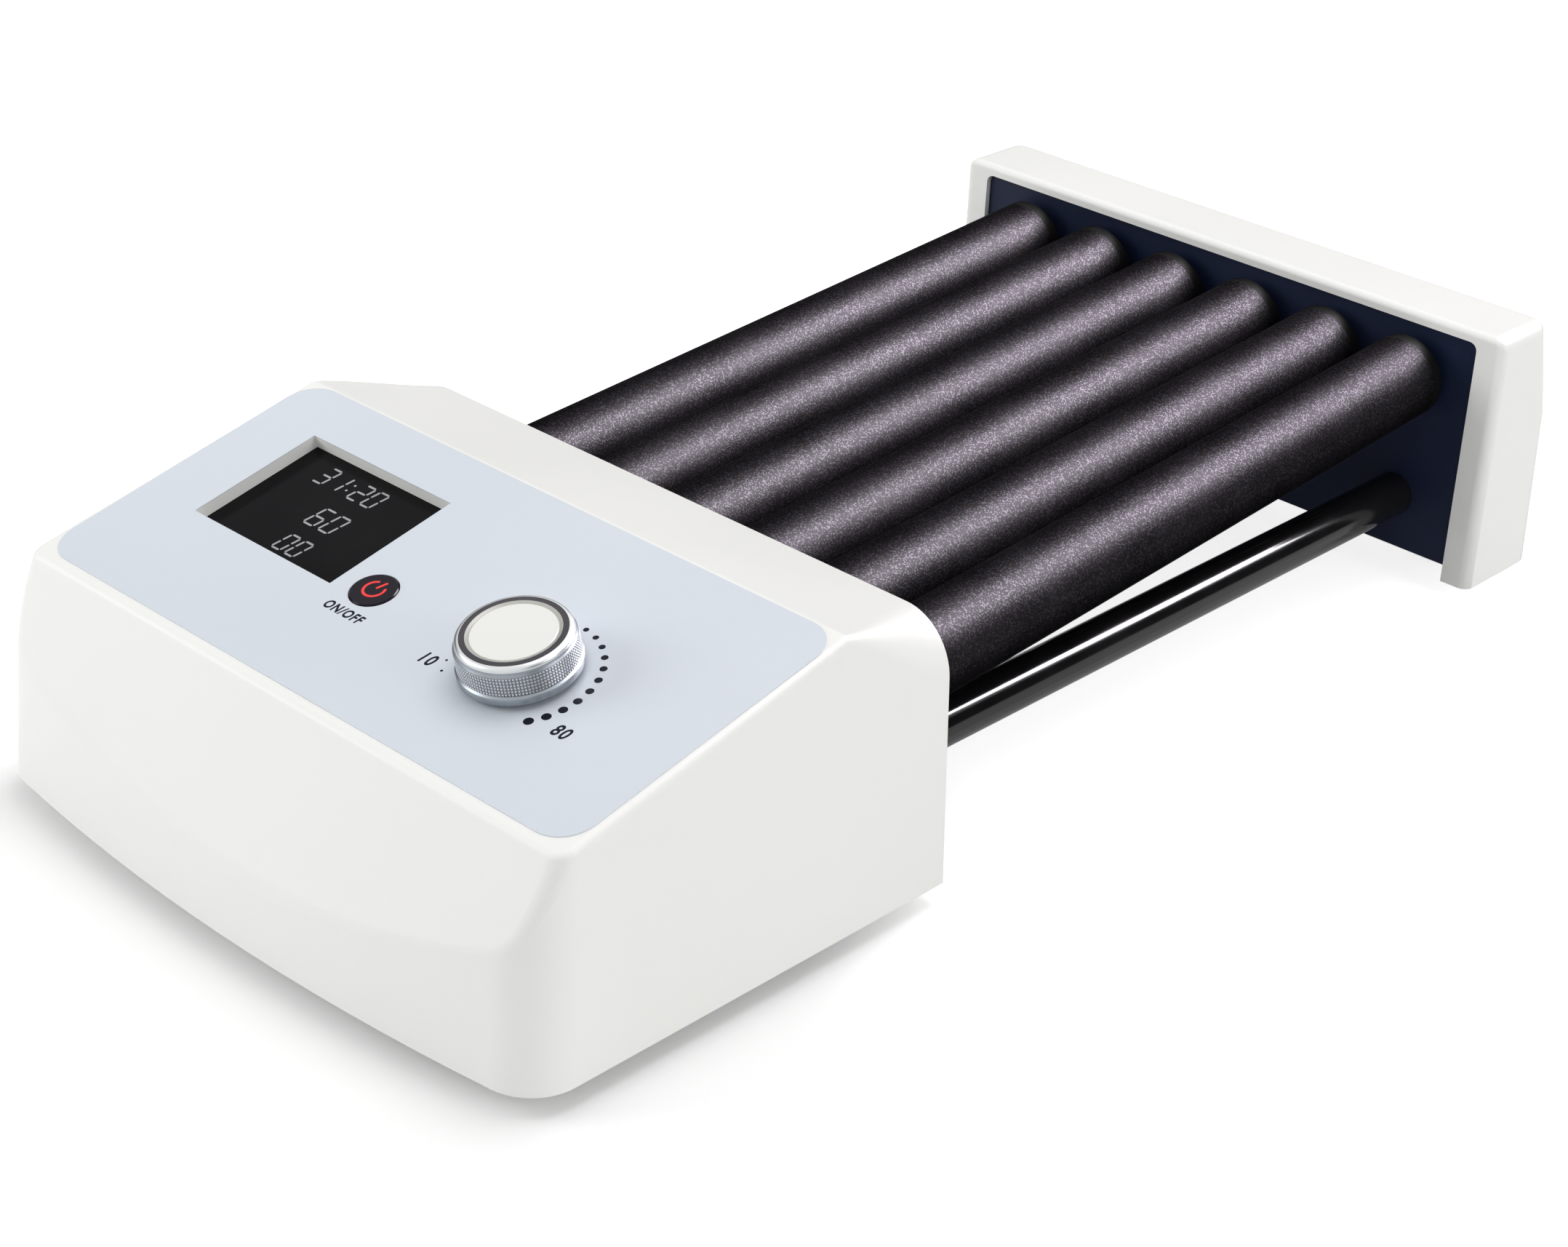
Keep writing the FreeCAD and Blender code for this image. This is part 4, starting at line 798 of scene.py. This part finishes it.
def knurledGrip():
    # Small pyramids all round, with painted shade in the valleys: the grooveShade attribute is 1 there and 0 at
    # the tips.
    grip, low, rows = knob["grip"], knob["gripFoot"], knob["gripRows"]
    bm = turned([(grip, low + (knob["gripTop"] - low) * row / rows) for row in range(rows + 1)])
    grooveShade = bm.verts.layers.float.new("grooveShade")
    for vert in bm.verts:
        vert[grooveShade] = 1.0
    for face in bm.faces:
        face.smooth = False
    bmesh.ops.poke(bm, faces=list(bm.faces), offset=knob["knurl"] * mm)
    for vert in bm.verts:
        if vert.co.xy.length > (grip + knob["knurl"] / 2) * mm:
            vert[grooveShade] = 0.0
    return bm


def addKnob():
    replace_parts(onKnob(turned(knob["skirt"]), "knobSkirt", "knob_metal"), "knob_body")
    onKnob(knurledGrip(), "knobKnurl", "knobKnurl")
    onKnob(turned(knob["neck"]), "knobNeck", "knob_metal")
    onKnob(turned(rounding(*knob["edge"], knob["edgeSteps"])), "knobEdge", "knobPolish")
    onKnob(turned(knob["darkRing"]), "knobDarkRing", "knobDark")
    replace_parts(onKnob(turned(knob["trim"]), "knobTrim", "knobTrim"), "knob_ring")
    face = rounding(*knob["face"], knob["faceSteps"]) + [knob["faceMiddle"]]
    piece = onKnob(turned(face), "knobFace", "knob_white")
    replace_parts(piece, "knob_disc")


addKnob()
print("knob turned")


# End cap's moulding: the same shell as the solid, with the softer corners of the real one

capMoulding = {
    "front": 207.0,
    "foot": 7.0,
    "width": 244.0,
    # Depth and height from the lower front edge, outside and inside.
    "outline": ((0, 0), (0, 96), (30, 96), (40, 60), (43, 0)),
    "insideWidth": 239.0,
    "inside": ((6, -1), (6, 93.5), (27.5, 93.5), (37.5, 60), (40.5, -1)),
    "openingWidth": 222.0,
    "openingTop": 91.7,
    "openingCorner": 3.0,
    "openingDepth": 8,
    "cutMargin": 1,
    "rounding": 8.0,  # of the upright back corners; the next four are shares of this
    "frontTop": 0.30,
    "frontSide": 0.50,
    "topSide": 0.70,
    "back": 0.44,
    "segments": 6,
    "posts": ((108.0, 22.0), (-108.0, 22.0)),
    "postRadius": 4.0,
    "postHeights": (5.5, 93.6),
}


def capPrism(outline, width):
    # The side outline, drawn out across the cap.
    bm = bmesh.new()
    front, foot = capMoulding["front"], capMoulding["foot"]
    verts = [bm.verts.new((-width / 2 * mm, (front + depth) * mm, (foot + height) * mm))
             for depth, height in outline]
    drawOut(bm, [bm.faces.new(verts)], (width * mm, 0, 0))
    bmesh.ops.recalc_face_normals(bm, faces=bm.faces)
    return bm


def capOpening():
    # The front opening's cutter: a block with rounded top corners.
    bm = bmesh.new()
    half, top, margin = capMoulding["openingWidth"] / 2, capMoulding["openingTop"], capMoulding["cutMargin"]
    front, foot = capMoulding["front"] - margin, capMoulding["foot"]
    points = [(-half, -margin), (half, -margin), (half, top), (-half, top)]
    verts = [bm.verts.new((across * mm, front * mm, (foot + up) * mm)) for across, up in points]
    bm.faces.new(verts)
    bmesh.ops.bevel(bm, geom=verts[2:], offset=capMoulding["openingCorner"] * mm, segments=5, profile=0.5,
                    affect="VERTICES", material=-1)
    drawOut(bm, list(bm.faces), (0, capMoulding["openingDepth"] * mm, 0))
    bmesh.ops.recalc_face_normals(bm, faces=bm.faces)
    return bm


def roundingShare(edge):
    # How much of the full rounding an edge of the block gets: none at the foot.
    ends = [vert.co / mm - Vector((0, capMoulding["front"], capMoulding["foot"])) for vert in edge.verts]
    if max(end.z for end in ends) < 1:
        return 0.0
    if abs(ends[0].x - ends[1].x) > 1:
        return capMoulding["frontTop"] if ends[0].y < 1 else capMoulding["back"]
    if max(end.y for end in ends) < 1:
        return capMoulding["frontSide"]
    topEdge = min(end.z for end in ends) > capMoulding["outline"][1][1] - 1
    return capMoulding["topSide"] if topEdge else 1.0


def bareObject(bm, name):
    # A block or cutter that the moulding's modifiers use, removed once they are applied.
    mesh = bpy.data.meshes.new(name)
    bm.to_mesh(mesh)
    bm.free()
    made = bpy.data.objects.new(name, mesh)
    scene.collection.objects.link(made)
    return made


def mouldedCap():
    bm = capPrism(capMoulding["outline"], capMoulding["width"])
    share = bm.edges.layers.float.new("bevel_weight_edge")
    for edge in bm.edges:
        edge[share] = roundingShare(edge)
    for face in bm.faces:
        face.smooth = True
    block = bareObject(bm, "capBlock")
    rounded = block.modifiers.new("rounded", "BEVEL")
    rounded.limit_method = "WEIGHT"
    rounded.width = capMoulding["rounding"] * mm
    rounded.segments = capMoulding["segments"]
    cutters = [bareObject(capPrism(capMoulding["inside"], capMoulding["insideWidth"]), "capInside"),
               bareObject(capOpening(), "capOpening")]
    for cutter in cutters:
        hollow = block.modifiers.new(cutter.name, "BOOLEAN")
        hollow.operation = "DIFFERENCE"
        hollow.object = cutter
    even = block.modifiers.new("even", "WEIGHTED_NORMAL")
    even.keep_sharp = True
    graph = bpy.context.evaluated_depsgraph_get()
    mesh = bpy.data.meshes.new_from_object(block.evaluated_get(graph), depsgraph=graph)
    mesh.name = "capMoulding"
    for spare in [block] + cutters:
        spareMesh = spare.data
        bpy.data.objects.remove(spare)
        bpy.data.meshes.remove(spareMesh)
    return mesh


def addCapMoulding():
    mesh = mouldedCap()
    piece = bpy.data.objects.new("capMoulding", mesh)
    scene.collection.objects.link(piece)
    mesh.materials.append(finish["shell"])
    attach(piece, "main")
    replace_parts(piece, "cap_shell")


def addCapPosts():
    low, high = capMoulding["postHeights"]
    bm = bmesh.new()
    for across, depth in capMoulding["posts"]:
        place = Matrix.Translation(Vector((across, capMoulding["front"] + depth,
                                           capMoulding["foot"] + (low + high) / 2)) * mm)
        radius = capMoulding["postRadius"] * mm
        bmesh.ops.create_cone(bm, cap_ends=True, segments=32, radius1=radius, radius2=radius,
                              depth=(high - low) * mm, matrix=place)
    addPiece(bm, "capPosts", "shell", "main")


addCapMoulding()
addCapPosts()
print("end cap moulded")
